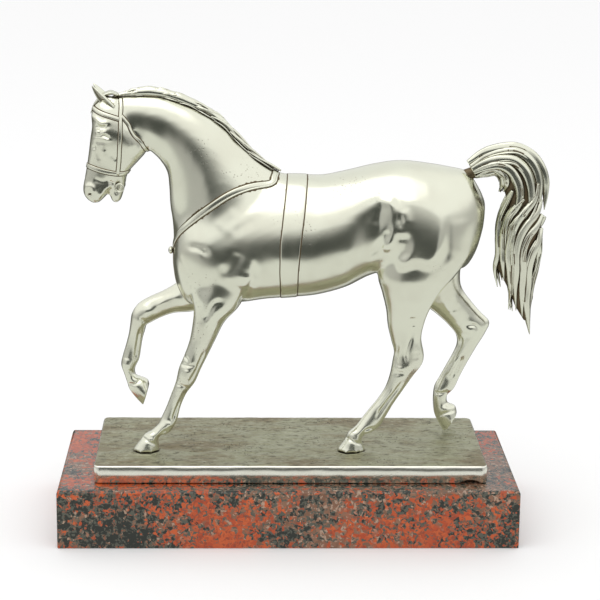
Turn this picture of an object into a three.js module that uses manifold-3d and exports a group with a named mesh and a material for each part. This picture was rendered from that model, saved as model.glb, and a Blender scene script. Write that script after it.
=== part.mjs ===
// Horse statuette: a cast silver-coloured horse in harness straps, stepping out over a cast ground plate,
// on a polished granite plinth.
// Millimetres, +Z up. The origin is the middle of the plinth's underside. The horse faces -X and its near
// (left) side looks along -Y.
import * as THREE from 'three';
import { LoftGeometry } from 'three/addons/geometries/LoftGeometry.js';
import { mergeVertices } from 'three/addons/utils/BufferGeometryUtils.js';
import Module from 'manifold-3d';

const wasm = await Module();
wasm.setup();

// Plinth and ground plate
const PLINTH = { length: 230, depth: 100, height: 30, corner: 1, topChamfer: 1.8, footChamfer: 0.6 };
const PLATE = {
  length: 197, depth: 81, top: 40, corner: 3.2, edge: 0.9, footInset: 0.3, footHeight: 1,
  middleX: 1.1, middleY: 1.5,
};
const GAP = 0.3; // left between pieces that rest on each other
const CORNER_STEPS = 2; // facets round a block's upright corner

// Harness
const GIRTH = { proud: 0.4 };
const STRAP = { proud: 0.6, width: 2.8 };
const BRIDLE = { proud: 0.6, width: 1.7 };
const BIT_RING = { radius: 2.1, wire: 0.55, x: -84.6, z: 173.6, y: 4.6 };

// Facets round each body and along it
const ROUND = { trunk: 24, neck: 16, head: 16, jaw: 8, leg: 10, tail: 16, mane: 7, lock: 6, ear: 6 };
const ALONG = { trunk: 22, neck: 11, head: 15, jaw: 7, tail: 24, mane: 18, lock: 6, ear: 5, perStation: 1.2 };

// Each station of a body is one cross-section: front (or upper) outline point x, z; back (or lower) outline
// point x, z; half width; sideways place of the middle; lean, which is how much wider the back half is.
const TRUNK = [
  [-57.6, 151, -58.2, 134, 7.5, 0, 0],
  [-54.5, 161, -56.3, 123.5, 13.5, 0, 0],
  [-48, 169, -50.5, 114, 17.5, 0, 0.05],
  [-38, 174, -40, 112.5, 20, 0, 0.1],
  [-26, 176.5, -27, 114.2, 22, 0, 0.16],
  [-12, 179.6, -12, 116.8, 23.8, 0, 0.2],
  [2, 180.3, 2, 117.9, 25.2, 0, 0.16],
  [16, 179.7, 15, 119.4, 26, 0, 0.1],
  [30, 182.4, 29, 123.4, 26, 0, 0.06],
  [43, 185.5, 41, 129.3, 25, 0, 0],
  [56, 187.2, 55, 133, 25.6, 0, -0.04],
  [69, 186, 68, 134, 25.8, 0, -0.04],
  [80, 184.2, 79, 133, 24, 0, 0],
  [89, 181.8, 88, 133, 19.5, 0, 0],
  [95.5, 173, 93.5, 140, 13, 0, 0],
  [98.4, 166.5, 97.4, 152, 6, 0, 0],
];
const NECK = [
  [-88, 218.6, -77, 199, 5.6, 0, 0],
  [-79.5, 219, -70.6, 192.5, 6.6, 0, 0.05],
  [-72, 219.3, -65.2, 187.6, 7.2, 0, 0.1],
  [-63.5, 218.6, -61.2, 181, 7.8, 0, 0.16],
  [-54.5, 215.8, -60.2, 173, 8.8, 0, 0.22],
  [-45, 211.8, -59.9, 165.5, 10.2, 0, 0.26],
  [-35.5, 205.8, -59, 157, 12, 0, 0.28],
  [-25.5, 196, -58.6, 148, 14.5, 0, 0.28],
  [-15.5, 187.2, -58, 138, 17, 0, 0.24],
  [-5, 181.5, -52, 128, 18, 0, 0.2],
];
const HEAD = [
  [-92.5, 219.2, -83.5, 217.6, 3.4, 0, 0],
  [-96.8, 215.2, -79.6, 210.6, 6.6, 0, 0],
  [-98.5, 210, -76.2, 203.5, 8.4, 0, -0.05],
  [-98.3, 204, -72.9, 197.2, 9.2, 0, -0.12],
  [-99.2, 198, -71.2, 192.2, 8.6, 0, -0.12],
  [-100.1, 191, -75.6, 186.4, 7, 0, -0.1],
  [-101.1, 184.5, -79.6, 182, 5.8, 0, 0],
  [-102.3, 178, -83.2, 176.6, 5.2, 0, 0],
  [-103.2, 172.6, -88.3, 173, 5.1, 0, 0],
  [-102.7, 169.2, -91, 169.8, 5, 0, 0],
  [-100.6, 166.6, -93.4, 167.2, 4.2, 0, 0],
  [-98.6, 165.3, -95.4, 165.5, 2.4, 0, 0],
];
const JAW = [
  [-91, 184, -77, 186.3, 4.6, 0, 0],
  [-91, 178, -80.9, 180, 4, 0, 0],
  [-90.4, 173, -82.3, 173.6, 3.6, 0, 0],
  [-89.8, 169.2, -83.6, 169.2, 3.4, 0, 0],
  [-89.2, 166.8, -84.6, 166.8, 2.8, 0, 0],
  [-88, 165.5, -86, 165.6, 1.5, 0, 0],
];
const NEAR_FORE = [
  [-50, 142, -21, 146, 8, -11.5, 0],
  [-50.3, 126, -18.5, 131, 8, -13, 0],
  [-48, 113.5, -24.4, 116.5, 7.4, -14, 0],
  [-48.5, 106, -32.3, 107.6, 6.2, -14.2, 0],
  [-49.9, 98, -37, 98.2, 5.2, -14.3, 0],
  [-52.6, 90, -41.2, 89.4, 4.6, -14.4, 0],
  [-55.3, 83.4, -44.3, 83, 4.8, -14.5, 0],
  [-57, 76, -47.4, 76, 4.4, -14.6, 0],
  [-59.2, 70, -51.6, 70.2, 3.3, -14.7, 0],
  [-61.8, 63, -54.6, 63.2, 2.9, -14.8, 0],
  [-64.4, 57.2, -56.2, 57, 3.1, -14.9, 0],
  [-66.4, 53.4, -57.8, 53, 3.8, -15, 0],
  [-69.5, 50.4, -60.4, 49.6, 3.9, -15, 0],
  [-73, 48.3, -64, 48.2, 4, -15, 0],
  [-74.6, 46.2, -65.7, 46.6, 4.8, -15, 0],
  [-77.4, 42.6, -65.7, 43.4, 5.3, -15, 0],
  [-79, 40.3, -65.4, 40.3, 5.8, -15, 0],
];
const FAR_FORE = [
  [-38, 140, -26, 112, 8.5, 11, 0],
  [-49, 128, -38, 108, 8, 12.6, 0],
  [-58, 120.3, -50, 105.6, 6.6, 13.5, 0],
  [-65.4, 115.9, -59, 104.7, 5.5, 13.9, 0],
  [-71.4, 113.2, -66.2, 102, 4.9, 14, 0],
  [-77, 109.6, -71, 99.4, 4.9, 14, 0],
  [-80.4, 104.3, -72.8, 98.3, 4.7, 14, 0],
  [-81.3, 98.8, -73.7, 95.4, 4, 14, 0],
  [-82.1, 93.6, -74.9, 91.4, 3.2, 14, 0],
  [-83.8, 87, -75.9, 85.6, 2.9, 14, 0],
  [-85.4, 81.6, -76.9, 80, 3.2, 14, 0],
  [-86.2, 77, -79.1, 74.6, 3.8, 14, 0],
  [-84.6, 71.8, -78.3, 71.2, 3.6, 14, 0],
  [-83.3, 67.6, -75.6, 70.2, 4, 14, 0],
  [-82.1, 63.8, -72.6, 68.8, 4.8, 14, 0],
  [-78.8, 59.2, -71.9, 66.9, 5.3, 14, 0],
  [-75.1, 55.2, -71.8, 66.2, 5.5, 14, 0],
];
const NEAR_HIND = [
  [50, 158, 92, 156, 8, -14, 0],
  [45.5, 142, 90.5, 143, 9.6, -14.6, 0],
  [44, 131.5, 83, 132, 9.4, -15, 0],
  [46.2, 123.6, 76.2, 124, 8.4, -15, 0],
  [48.4, 115, 70.8, 114.8, 6.9, -15, 0],
  [49.6, 106, 67.8, 106.4, 5.6, -15, 0],
  [51.6, 98, 66.7, 99.4, 4.7, -15, 0],
  [53, 92.6, 68.2, 90.4, 4.6, -15, 0],
  [52.3, 87, 67.4, 86, 4.7, -15, 0],
  [51.2, 80.4, 63, 79.8, 4.2, -15, 0],
  [49, 73.6, 58, 72.2, 3.5, -15, 0],
  [45.4, 67.6, 53.6, 65.4, 3, -15, 0],
  [41.2, 62.2, 49.6, 58.2, 3, -15, 0],
  [37.6, 57.4, 46.6, 53, 3.5, -15, 0],
  [34.2, 52.8, 43.4, 50.4, 3.9, -15, 0],
  [30.4, 49.2, 39.4, 48.8, 4, -15, 0],
  [28.6, 45.6, 37.5, 46, 4.8, -15, 0],
  [26.5, 42.4, 38.4, 42.6, 5.3, -15, 0],
  [25, 40.3, 39.4, 40.3, 5.8, -15, 0],
];
const FAR_HIND = [
  [52, 156, 94, 154, 8, 13, 0],
  [56, 134, 91.6, 140, 9.6, 14, 0],
  [62, 119, 88.8, 128, 8.6, 14.6, 0],
  [69, 110.4, 89.6, 119, 7, 15, 0],
  [76.4, 104.8, 94.3, 112, 5.6, 15.4, 0],
  [83, 98.8, 99.6, 105.6, 4.7, 15.8, 0],
  [87.6, 93, 104.8, 99.8, 4.5, 16, 0],
  [88.2, 88.2, 103, 94.4, 4.6, 16.2, 0],
  [86.3, 82.8, 98.7, 86.8, 4.1, 16.3, 0],
  [83, 76.4, 93.6, 77.2, 3.4, 16.4, 0],
  [79.9, 70.4, 90.2, 70, 3, 16.5, 0],
  [77.2, 65, 87.4, 63.6, 3.6, 16.6, 0],
  [76.6, 60, 84, 59.8, 3.8, 16.6, 0],
  [76.8, 54.6, 84.4, 56, 4, 16.6, 0],
  [77.6, 49.8, 88.2, 54.2, 4.8, 16.6, 0],
  [79.6, 45.4, 89.2, 51.6, 5.3, 16.6, 0],
  [82.6, 40.3, 89.3, 50.2, 5.5, 16.6, 0],
];
const TAIL = [
  [85.5, 183.6, 89, 175.5, 3.4, 0, 0],
  [93, 186.5, 95.5, 178.2, 4.3, 0, 0],
  [100, 190.2, 101.4, 179.8, 5, 0, 0],
  [107, 192.5, 104.4, 177.4, 5.8, 0, 0],
  [114, 192.9, 106.6, 172.6, 6.6, 0, 0],
  [121, 190.2, 108.2, 168.4, 7.2, 0, 0],
  [125.8, 183.6, 108, 165.4, 7.6, 0, 0],
  [128.1, 175, 107.2, 161.6, 7.9, 0, 0],
  [127.8, 166, 106.2, 157, 8, 0, 0],
  [127.6, 157, 105.2, 151.4, 8, 0, 0],
  [127.4, 149, 105, 145.4, 7.7, 0, 0],
  [126.5, 141, 105.2, 139, 7.3, 0, 0],
  [125.5, 133.5, 104.4, 133, 6.7, 0, 0],
  [123.8, 126, 107.8, 126.6, 5.8, 0, 0],
  [123.2, 119.5, 111.4, 119.6, 4.8, 0, 0],
  [124, 113, 114.4, 112.4, 3.7, 0, 0],
  [123.9, 107, 118.4, 105.8, 2.6, 0, 0],
  [124.1, 101.6, 121.6, 100.6, 1.5, 0, 0],
  [124.2, 97.6, 123.4, 97.2, 0.5, 0, 0],
];

// Muscles and hollows on both flanks: place x, z, reach, and height (below zero for a hollow)
const MUSCLES = {
  pointOfShoulder: [-50, 138, 9, 1.6],
  shoulderBlade: [-27, 158, 17, 1.5],
  foreNeckHollow: [-44, 152, 8, -0.9],
  upperArm: [-29, 132, 12, 2],
  behindElbow: [-10, 134, 11, -1.3],
  flankHollow: [42, 156, 11, -2.6],
  hipBone: [52, 172, 9, 0.9],
  stifle: [54, 139, 11, 1.8],
  croup: [70, 170, 14, 0.9],
  thighHollow: [79, 146, 6, -1.3],
  buttock: [89, 150, 9, 1.2],
};

// Outline of the girth band, seen from the side, from its top front corner round to its top rear one
const GIRTH_FRONT = [[-0.4, 192], [-1.4, 179], [-3, 165], [-4.8, 148], [-5, 135], [-4, 108]];
const GIRTH_REAR = [[3.4, 108], [3.8, 135], [5, 150], [7, 165], [8.7, 179], [9.4, 192]];
// Middle lines of the straps, seen from the side
const BREAST_STRAP = [
  [-4, 184.5], [-10, 182], [-20, 178.5], [-30, 173.3], [-40, 167],
  [-48, 161], [-54, 154.6], [-58, 147.5], [-64, 139],
];
const CHEEKPIECE = [[-84.6, 224], [-83.6, 208], [-84, 195], [-84.6, 187], [-85.6, 178.5]];
const BROWBAND = [[-102, 215.6], [-97, 213], [-92, 211], [-83.6, 208.6]];
const THROATLATCH = [[-84, 212], [-78.4, 204.6], [-74.6, 198], [-71.4, 192.6], [-68, 186]];
const NOSEBAND = [[-106, 184.4], [-100.6, 183.6], [-91, 181], [-84, 180], [-76, 179.4]];

// The mane runs along the neck from start to end; crest is how far round to the far side its roll sits
const MANE = {
  start: 0.015, end: 1, crest: 0.16, rise: 1.5, thick: 3, waves: 48, waveDepth: 0.12,
  locks: 9, lockRoot: 0.12, hang: 1.5, lockLift: 0.9, lockWidth: 3.6, lockThick: 1.5, tip: 0.45,
};
const EAR = { base: [-88, 213.5], tip: [-98, 224.3], spread: 4.6, width: 2.5, depth: 1.7 };
const EYE = { x: -94.2, z: 201.6, y: 8, radius: 1.9 };
const NOSTRIL = { x: -101, z: 170, y: 4.6, radius: 1.5 };
const STUD = { x: -59.3, z: 141, radius: 2 };
const BELLY_STRAP = { front: -66, back: -44, top: 142, foot: 108 };
const TAIL_STRANDS = { strands: 5, twist: -22, groove: 0.1 };
// Pointed locks that leave the tail's main mass, and the forelock: middle line x, y, z and half width
const LOOSE_LOCKS = [
  [[[108, -1, 140], [106, -1, 131], [106, -1, 126], [106.6, -1, 121.8]], 3.6],
  [[[114, 1, 128], [112, 1, 120], [111.2, 1, 114], [112, 1, 109.8]], 3],
  [[[108, -3, 181], [105.4, -3, 175], [105.8, -3, 172], [107.4, -3, 170.3]], 2.6],
  [[[-84, 0.6, 217.6], [-92, 0.6, 217.8], [-96.9, 0.6, 212.6], [-97.6, 0.4, 206]], 2.2],
];
const LOCK_TIP = 0.35; // least half width of a lock, at its point
const LOCK_FLATNESS = 0.8;

const SILVER = new THREE.MeshStandardMaterial({ color: 0xb9b6a8, metalness: 1, roughness: 0.28 });
const PLATE_METAL = new THREE.MeshStandardMaterial({ color: 0x9d9788, metalness: 1, roughness: 0.5 });
const GRANITE = new THREE.MeshStandardMaterial({ color: 0x9c4a30, metalness: 0, roughness: 0.18 });

const curve = (points) => new THREE.CatmullRomCurve3(points.map((p) => new THREE.Vector3(...p)));
const power = (value, exponent) => Math.sign(value) * Math.abs(value) ** exponent;

// How far the muscles lift the flank at x, z
function muscleLift(x, z) {
  return Object.values(MUSCLES).reduce((sum, [mx, mz, reach, height]) => (
    sum + height * Math.exp(-((x - mx) ** 2 + (z - mz) ** 2) / reach ** 2)), 0);
}

// The surface of a body through its stations: the point at t along it (0 to 1) and angle round it, where 0 is
// the front outline and a quarter turn is the +Y side. grow moves the surface out.
function surface(stations, { square = 2, muscled = false, strands = 0, twist = 0, groove = 0 } = {}) {
  const front = curve(stations.map(([x, z]) => [x, 0, z]));
  const back = curve(stations.map(([, , x, z]) => [x, 0, z]));
  const section = curve(stations.map(([, , , , halfWidth, middle, lean]) => [halfWidth, middle, lean]));
  return (t, angle, grow = 0) => {
    const upper = front.getPoint(t);
    const lower = back.getPoint(t);
    const { x: halfWidth, y: middle, z: lean } = section.getPoint(t);
    const depth = upper.distanceTo(lower) / 2;
    const point = upper.clone().add(lower).multiplyScalar(0.5);
    const along = power(Math.cos(angle), 2 / square);
    const across = power(Math.sin(angle), 2 / square);
    const strand = 1 + groove * Math.cos(strands * angle - twist * t);
    point.addScaledVector(upper.sub(lower).normalize(), (depth * strand + grow) * along);
    const lift = muscled ? muscleLift(point.x, point.z) : 0;
    point.y += middle + ((halfWidth + lift) * strand * (1 - lean * along) + grow) * across;
    return point;
  };
}

// A closed solid from a geometry
function solid(geometry) {
  const bare = new THREE.BufferGeometry();
  bare.setAttribute('position', geometry.getAttribute('position'));
  bare.setIndex(geometry.getIndex() ?? [...Array(geometry.getAttribute('position').count).keys()]);
  const merged = mergeVertices(bare, 1e-4);
  const corners = merged.getIndex().array;
  const triangles = [];
  for (let i = 0; i < corners.length; i += 3) {
    const [a, b, c] = corners.slice(i, i + 3);
    if (a !== b && b !== c && c !== a) triangles.push(a, b, c);
  }
  return new wasm.Manifold(new wasm.Mesh({
    numProp: 3,
    vertProperties: Float32Array.from(merged.getAttribute('position').array),
    triVerts: Uint32Array.from(triangles),
  }));
}

const centreOf = (ring) => ring.reduce((sum, p) => sum.add(p), new THREE.Vector3()).divideScalar(ring.length);

// A solid skinned over cross-sections, whose rings may wind either way
function skinned(sections) {
  const centre = centreOf(sections[0]);
  const ahead = centreOf(sections[1]).sub(centre);
  const [first, second] = sections[0].map((p) => p.clone().sub(centre));
  if (first.cross(second).dot(ahead) < 0) sections.forEach((ring) => ring.reverse());
  return solid(new LoftGeometry(sections, { capStart: true, capEnd: true }));
}

// A body as a solid, with so many facets round it and so many rings along it
function loft(body, around, rings, grow = 0) {
  const sections = [];
  for (let i = 0; i < rings; i += 1) {
    const ring = [];
    for (let j = 0; j < around; j += 1) ring.push(body(i / (rings - 1), (2 * Math.PI * j) / around, grow));
    sections.push(ring);
  }
  return skinned(sections);
}

// A lock, ear or cord along a path: across is its half width, proud its half thickness along out
function tube({ path, out, across, proud }, around, rings) {
  const sections = [];
  for (let i = 0; i < rings; i += 1) {
    const s = i / (rings - 1);
    const ahead = path(Math.min(s + 0.01, 1)).sub(path(Math.max(s - 0.01, 0))).normalize();
    const side = ahead.clone().cross(out(s)).normalize();
    const up = side.clone().cross(ahead).normalize();
    const ring = [];
    for (let j = 0; j < around; j += 1) {
      const angle = (2 * Math.PI * j) / around;
      ring.push(path(s).addScaledVector(side, across(s) * Math.cos(angle))
        .addScaledVector(up, proud(s) * Math.sin(angle)));
    }
    sections.push(ring);
  }
  return skinned(sections);
}

const join = (solids) => solids.reduce((all, next) => all.add(next));

// A flat outline in x, z, run right through the horse from side to side
function cutter(outline, halfDepth = 60) {
  const shape = new THREE.Shape(outline.map(([x, z]) => new THREE.Vector2(x, z)));
  const block = new THREE.ExtrudeGeometry(shape, { depth: 2 * halfDepth, bevelEnabled: false });
  block.rotateX(Math.PI / 2);
  block.translate(0, halfDepth, 0);
  return solid(block);
}

// The outline of a strip of one width along a middle line in x, z
function strip(line, width, pieces = line.length) {
  const middle = new THREE.SplineCurve(line.map(([x, z]) => new THREE.Vector2(x, z)));
  const edge = (side) => Array.from({ length: pieces + 1 }, (_, i) => {
    const point = middle.getPoint(i / pieces);
    const ahead = middle.getTangent(i / pieces);
    return [point.x - side * ahead.y * (width / 2), point.y + side * ahead.x * (width / 2)];
  });
  return [...edge(1), ...edge(-1).reverse()];
}

const trunk = surface(TRUNK, { square: 2.15, muscled: true });
const neck = surface(NECK);
const head = surface(HEAD, { square: 2.3 });
const jaw = surface(JAW);
const tail = surface(TAIL, TAIL_STRANDS);

function legs() {
  return [NEAR_FORE, FAR_FORE, NEAR_HIND, FAR_HIND].map((stations) => (
    loft(surface(stations), ROUND.leg, Math.round(ALONG.perStation * stations.length))));
}

function girth() {
  const band = cutter([...GIRTH_FRONT, ...GIRTH_REAR]);
  return loft(trunk, ROUND.trunk, ALONG.trunk, GIRTH.proud).intersect(band);
}

// The strap round the chest, the strap down between the forelegs, and the stud where they meet
function breastStraps() {
  const skin = loft(trunk, ROUND.trunk, ALONG.trunk, STRAP.proud)
    .add(loft(neck, ROUND.neck, ALONG.neck, STRAP.proud));
  const breast = skin.intersect(cutter(strip(BREAST_STRAP, STRAP.width)));
  const { front, back, top, foot } = BELLY_STRAP;
  const belly = cutter([[front, top], [front, foot], [back, foot], [back, top]], STRAP.width / 2);
  const stud = new THREE.SphereGeometry(STUD.radius, 8, 6);
  stud.translate(STUD.x, 0, STUD.z);
  return join([breast, skin.intersect(belly), solid(stud)]);
}

function bridle() {
  const skin = loft(head, ROUND.head, ALONG.head, BRIDLE.proud);
  const straps = [CHEEKPIECE, BROWBAND, THROATLATCH, NOSEBAND].map((line) => (
    skin.intersect(cutter(strip(line, BRIDLE.width, 4)))));
  const rings = [-1, 1].map((side) => {
    const ring = new THREE.TorusGeometry(BIT_RING.radius, BIT_RING.wire, 5, 10);
    ring.rotateX(Math.PI / 2);
    ring.translate(BIT_RING.x, side * BIT_RING.y, BIT_RING.z);
    return solid(ring);
  });
  return join([...straps, ...rings]);
}

function ears() {
  return [-1, 1].map((side) => {
    const base = new THREE.Vector3(EAR.base[0], side * EAR.spread, EAR.base[1]);
    const tip = new THREE.Vector3(EAR.tip[0], side * (EAR.spread + 0.6), EAR.tip[1]);
    return tube({
      path: (s) => base.clone().lerp(tip, s),
      out: () => new THREE.Vector3(0, 1, 0),
      across: (s) => EAR.width * Math.sqrt(Math.sin(Math.PI * (0.18 + 0.8 * s))),
      proud: (s) => EAR.depth * Math.sqrt(Math.sin(Math.PI * (0.18 + 0.8 * s))),
    }, ROUND.ear, ALONG.ear);
  });
}

// One ball on each side of the head, for the eyes and to hollow the nostrils
function ballPair({ x, y, z, radius }) {
  return join([-1, 1].map((side) => {
    const ball = new THREE.SphereGeometry(radius, 8, 6);
    ball.translate(x, side * y, z);
    return solid(ball);
  }));
}

// The rolled fringe along the crest, with its waves
function maneRoll() {
  const along = (s) => MANE.start + (MANE.end - MANE.start) * s;
  const wave = (s) => 1 + MANE.waveDepth * Math.sin(MANE.waves * s);
  const swell = (s) => MANE.thick * wave(s) * Math.sin(Math.PI * (0.1 + 0.88 * s)) ** 0.6;
  return tube({
    path: (s) => neck(along(s), MANE.crest, MANE.rise),
    out: (s) => neck(along(s), MANE.crest, 1).sub(neck(along(s), MANE.crest)),
    across: swell,
    proud: swell,
  }, ROUND.mane, ALONG.mane);
}

// Locks that fall over the far side of the neck
function maneLocks() {
  return Array.from({ length: MANE.locks }, (_, i) => {
    const root = MANE.start + ((MANE.end - MANE.start) * (i + 0.6)) / (MANE.locks + 0.6);
    const hang = MANE.hang * (1 - 0.35 * (i / MANE.locks)) * (i % 2 ? 0.86 : 1);
    const place = (s) => [root + 0.035 * s + 0.012 * Math.sin(5 * s + i), MANE.lockRoot + hang * s];
    return tube({
      path: (s) => neck(...place(s), MANE.lockLift),
      out: (s) => neck(...place(s), 1).sub(neck(...place(s))),
      across: (s) => MANE.tip + MANE.lockWidth * Math.sqrt(1 - s),
      proud: (s) => MANE.tip + MANE.lockThick * Math.sqrt(1 - s),
    }, ROUND.lock, ALONG.lock);
  });
}

function looseLocks() {
  return LOOSE_LOCKS.map(([line, halfWidth]) => {
    const middle = curve(line);
    return tube({
      path: (s) => middle.getPoint(s),
      out: () => new THREE.Vector3(0, 1, 0),
      across: (s) => LOCK_TIP + halfWidth * Math.sqrt(1 - s),
      proud: (s) => LOCK_TIP + LOCK_FLATNESS * halfWidth * Math.sqrt(1 - s),
    }, ROUND.lock, ALONG.lock);
  });
}

function horse() {
  return join([
    loft(trunk, ROUND.trunk, ALONG.trunk),
    loft(neck, ROUND.neck, ALONG.neck),
    loft(head, ROUND.head, ALONG.head),
    loft(jaw, ROUND.jaw, ALONG.jaw),
    loft(tail, ROUND.tail, ALONG.tail),
    ...legs(),
    ...ears(),
    ballPair(EYE),
    girth(),
    breastStraps(),
    bridle(),
    maneRoll(),
    ...maneLocks(),
    ...looseLocks(),
  ]).subtract(ballPair(NOSTRIL));
}

// One level of a block with round corners: its outline drawn in by inset, at height z
function blockRing({ length, depth, corner }, middleX, middleY, inset, z) {
  const ring = [];
  for (const [sx, sy, turn] of [[1, 1, 0], [-1, 1, 1], [-1, -1, 2], [1, -1, 3]]) {
    for (let i = 0; i <= CORNER_STEPS; i += 1) {
      const angle = (turn + i / CORNER_STEPS) * (Math.PI / 2);
      ring.push(new THREE.Vector3(
        middleX + sx * (length / 2 - corner - inset) + corner * Math.cos(angle),
        middleY + sy * (depth / 2 - corner - inset) + corner * Math.sin(angle),
        z,
      ));
    }
  }
  return ring;
}

function block(size, middleX, middleY, levels) {
  const sections = levels.map(([inset, z]) => blockRing(size, middleX, middleY, inset, z));
  return skinned(sections);
}

const granitePlinth = () => block(PLINTH, 0, 0, [
  [PLINTH.footChamfer, 0],
  [0, PLINTH.footChamfer],
  [0, PLINTH.height - PLINTH.topChamfer],
  [PLINTH.topChamfer, PLINTH.height],
]);

const groundPlate = () => block(PLATE, PLATE.middleX, PLATE.middleY, [
  [PLATE.footInset, PLINTH.height + GAP],
  [0, PLINTH.height + GAP + PLATE.footHeight],
  [0, PLATE.top - PLATE.edge],
  [PLATE.edge, PLATE.top],
]);

// The triangles of a solid's outer skin: pockets that the joined bodies close off inside it are left solid
function outerSkin({ vertProperties, triVerts }) {
  const owner = Array.from({ length: vertProperties.length / 3 }, (_, i) => i);
  const root = (i) => {
    while (owner[i] !== i) {
      owner[i] = owner[owner[i]];
      i = owner[i];
    }
    return i;
  };
  for (let i = 0; i < triVerts.length; i += 3) {
    owner[root(triVerts[i + 1])] = root(triVerts[i]);
    owner[root(triVerts[i + 2])] = root(triVerts[i]);
  }
  const skins = new Map();
  for (let i = 0; i < triVerts.length; i += 3) {
    const skin = root(triVerts[i]);
    skins.set(skin, [...(skins.get(skin) ?? []), ...triVerts.slice(i, i + 3)]);
  }
  return [...skins.values()].reduce((largest, skin) => (skin.length > largest.length ? skin : largest));
}

function piece(name, body, material) {
  const mesh3 = body.getMesh();
  const { vertProperties } = mesh3;
  const triVerts = outerSkin(mesh3);
  const geometry = new THREE.BufferGeometry();
  geometry.setAttribute('position', new THREE.BufferAttribute(Float32Array.from(vertProperties), 3));
  geometry.setIndex(new THREE.BufferAttribute(Uint32Array.from(triVerts), 1));
  geometry.computeVertexNormals();
  const mesh = new THREE.Mesh(geometry, material);
  mesh.name = name;
  return mesh;
}

const statuette = new THREE.Group();
statuette.add(
  piece('granite_plinth', granitePlinth(), GRANITE),
  piece('ground_plate', groundPlate(), PLATE_METAL),
  piece('horse', horse(), SILVER),
);

export default statuette;
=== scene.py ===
# Horse statuette: a cast silver horse in harness straps on a cast ground plate and a polished granite plinth.
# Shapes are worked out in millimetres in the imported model's frame and turned to metres when a piece is done:
# +Z up, the horse faces -X and its near side looks along -Y.
import math
import random

import bmesh
import bpy
import numpy as np
from bpy.props import FloatProperty, FloatVectorProperty, IntProperty, PointerProperty
from mathutils import Matrix, Vector, noise
from mathutils.bvhtree import BVHTree


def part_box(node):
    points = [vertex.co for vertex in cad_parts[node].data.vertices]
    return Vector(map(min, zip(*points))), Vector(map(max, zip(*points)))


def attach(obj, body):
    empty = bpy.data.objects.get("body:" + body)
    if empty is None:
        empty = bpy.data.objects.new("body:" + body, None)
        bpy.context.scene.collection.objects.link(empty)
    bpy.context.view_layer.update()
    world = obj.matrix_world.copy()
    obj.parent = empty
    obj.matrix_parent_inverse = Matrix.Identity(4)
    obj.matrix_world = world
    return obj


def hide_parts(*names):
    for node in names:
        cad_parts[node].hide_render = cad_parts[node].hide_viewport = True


bl_info = {
    "name": "Horse statuette",
    "version": (1, 0, 0),
    "blender": (4, 5, 0),
    "location": "View3D > Sidebar > Statuette",
    "description": "Builds a cast horse with harness, mane and tail on its ground plate and granite plinth",
    "category": "Object",
}

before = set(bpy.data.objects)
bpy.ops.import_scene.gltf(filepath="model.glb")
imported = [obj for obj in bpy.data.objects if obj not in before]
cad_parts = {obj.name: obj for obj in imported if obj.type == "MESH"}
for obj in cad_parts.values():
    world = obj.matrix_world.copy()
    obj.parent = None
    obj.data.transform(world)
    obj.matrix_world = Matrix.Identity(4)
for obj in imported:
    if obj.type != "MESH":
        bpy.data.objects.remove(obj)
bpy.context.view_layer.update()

MM = 0.001
CAMERA = {
    "place": (-23.80, -972.39, 360.41), "pitch": 0.24696, "yaw": 0.03042, "roll": 0.01068, "lens": 118.353,
}
NEAR, BOTH, FAR = -1, 0, 1

# Stations of each body: front (or upper) outline point x, z; back (or lower) outline point x, z; half width;
# sideways place of the middle; lean, which is how much wider the back half is.
TRUNK = [
    [-57.6, 151, -58.2, 134, 7.5, 0, 0],
    [-54.5, 161, -56.3, 123.5, 13.5, 0, 0],
    [-48, 169, -50.5, 114, 17.5, 0, 0.05],
    [-38, 174, -40, 112.5, 20, 0, 0.1],
    [-26, 176.5, -27, 114.2, 22, 0, 0.16],
    [-12, 179.6, -12, 116.8, 23.8, 0, 0.2],
    [2, 180.3, 2, 117.9, 25.2, 0, 0.16],
    [16, 179.7, 15, 119.4, 26, 0, 0.1],
    [30, 182.4, 29, 123.4, 26, 0, 0.06],
    [43, 185.5, 41, 129.3, 25, 0, 0],
    [56, 187.2, 55, 133, 25.8, 0, 0.12],
    [69, 186, 68, 134, 25.8, 0, 0.16],
    [80, 184.2, 79, 133, 23.6, 0, 0.14],
    [89, 181.8, 88, 133, 19.2, 0, 0.1],
    [95.5, 173, 93.5, 140, 13, 0, 0],
    [98.4, 166.5, 97.4, 152, 6, 0, 0],
]
NECK = [
    [-88, 218.6, -77, 199, 5.6, 0, 0],
    [-79.5, 219, -70.6, 192.5, 6.6, 0, 0],
    [-72, 219.3, -65.2, 187.6, 7.2, 0, -0.08],
    [-63.5, 218.6, -61.2, 181, 7.8, 0, -0.16],
    [-54.5, 215.8, -60.2, 173, 8.8, 0, -0.24],
    [-45, 211.8, -59.9, 165.5, 10.2, 0, -0.28],
    [-35.5, 205.8, -59, 157, 12, 0, -0.24],
    [-25.5, 196, -58.6, 148, 14.5, 0, -0.12],
    [-15.5, 187.2, -58, 138, 17, 0, 0],
    [-5, 181.5, -52, 128, 18, 0, 0.1],
]
HEAD = [
    [-92.5, 219.2, -83.5, 217.6, 3.4, 0, 0],
    [-96.8, 215.2, -79.6, 210.6, 6.6, 0, 0],
    [-98.5, 210, -76.2, 203.5, 8.4, 0, -0.05],
    [-98.3, 204, -72.9, 197.2, 9.2, 0, -0.12],
    [-99.2, 198, -71.2, 192.2, 8.6, 0, -0.12],
    [-100.1, 191, -75.6, 186.4, 7, 0, -0.1],
    [-101.1, 184.5, -79.6, 182, 5.8, 0, 0],
    [-102.3, 178, -83.2, 176.6, 5.2, 0, 0],
    [-103.2, 172.6, -88.3, 173, 5.1, 0, 0],
    [-102.7, 169.2, -91, 169.8, 5, 0, 0],
    [-100.6, 166.6, -93.4, 167.2, 4.2, 0, 0],
    [-98.6, 165.3, -95.4, 165.5, 2.4, 0, 0],
]
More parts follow.
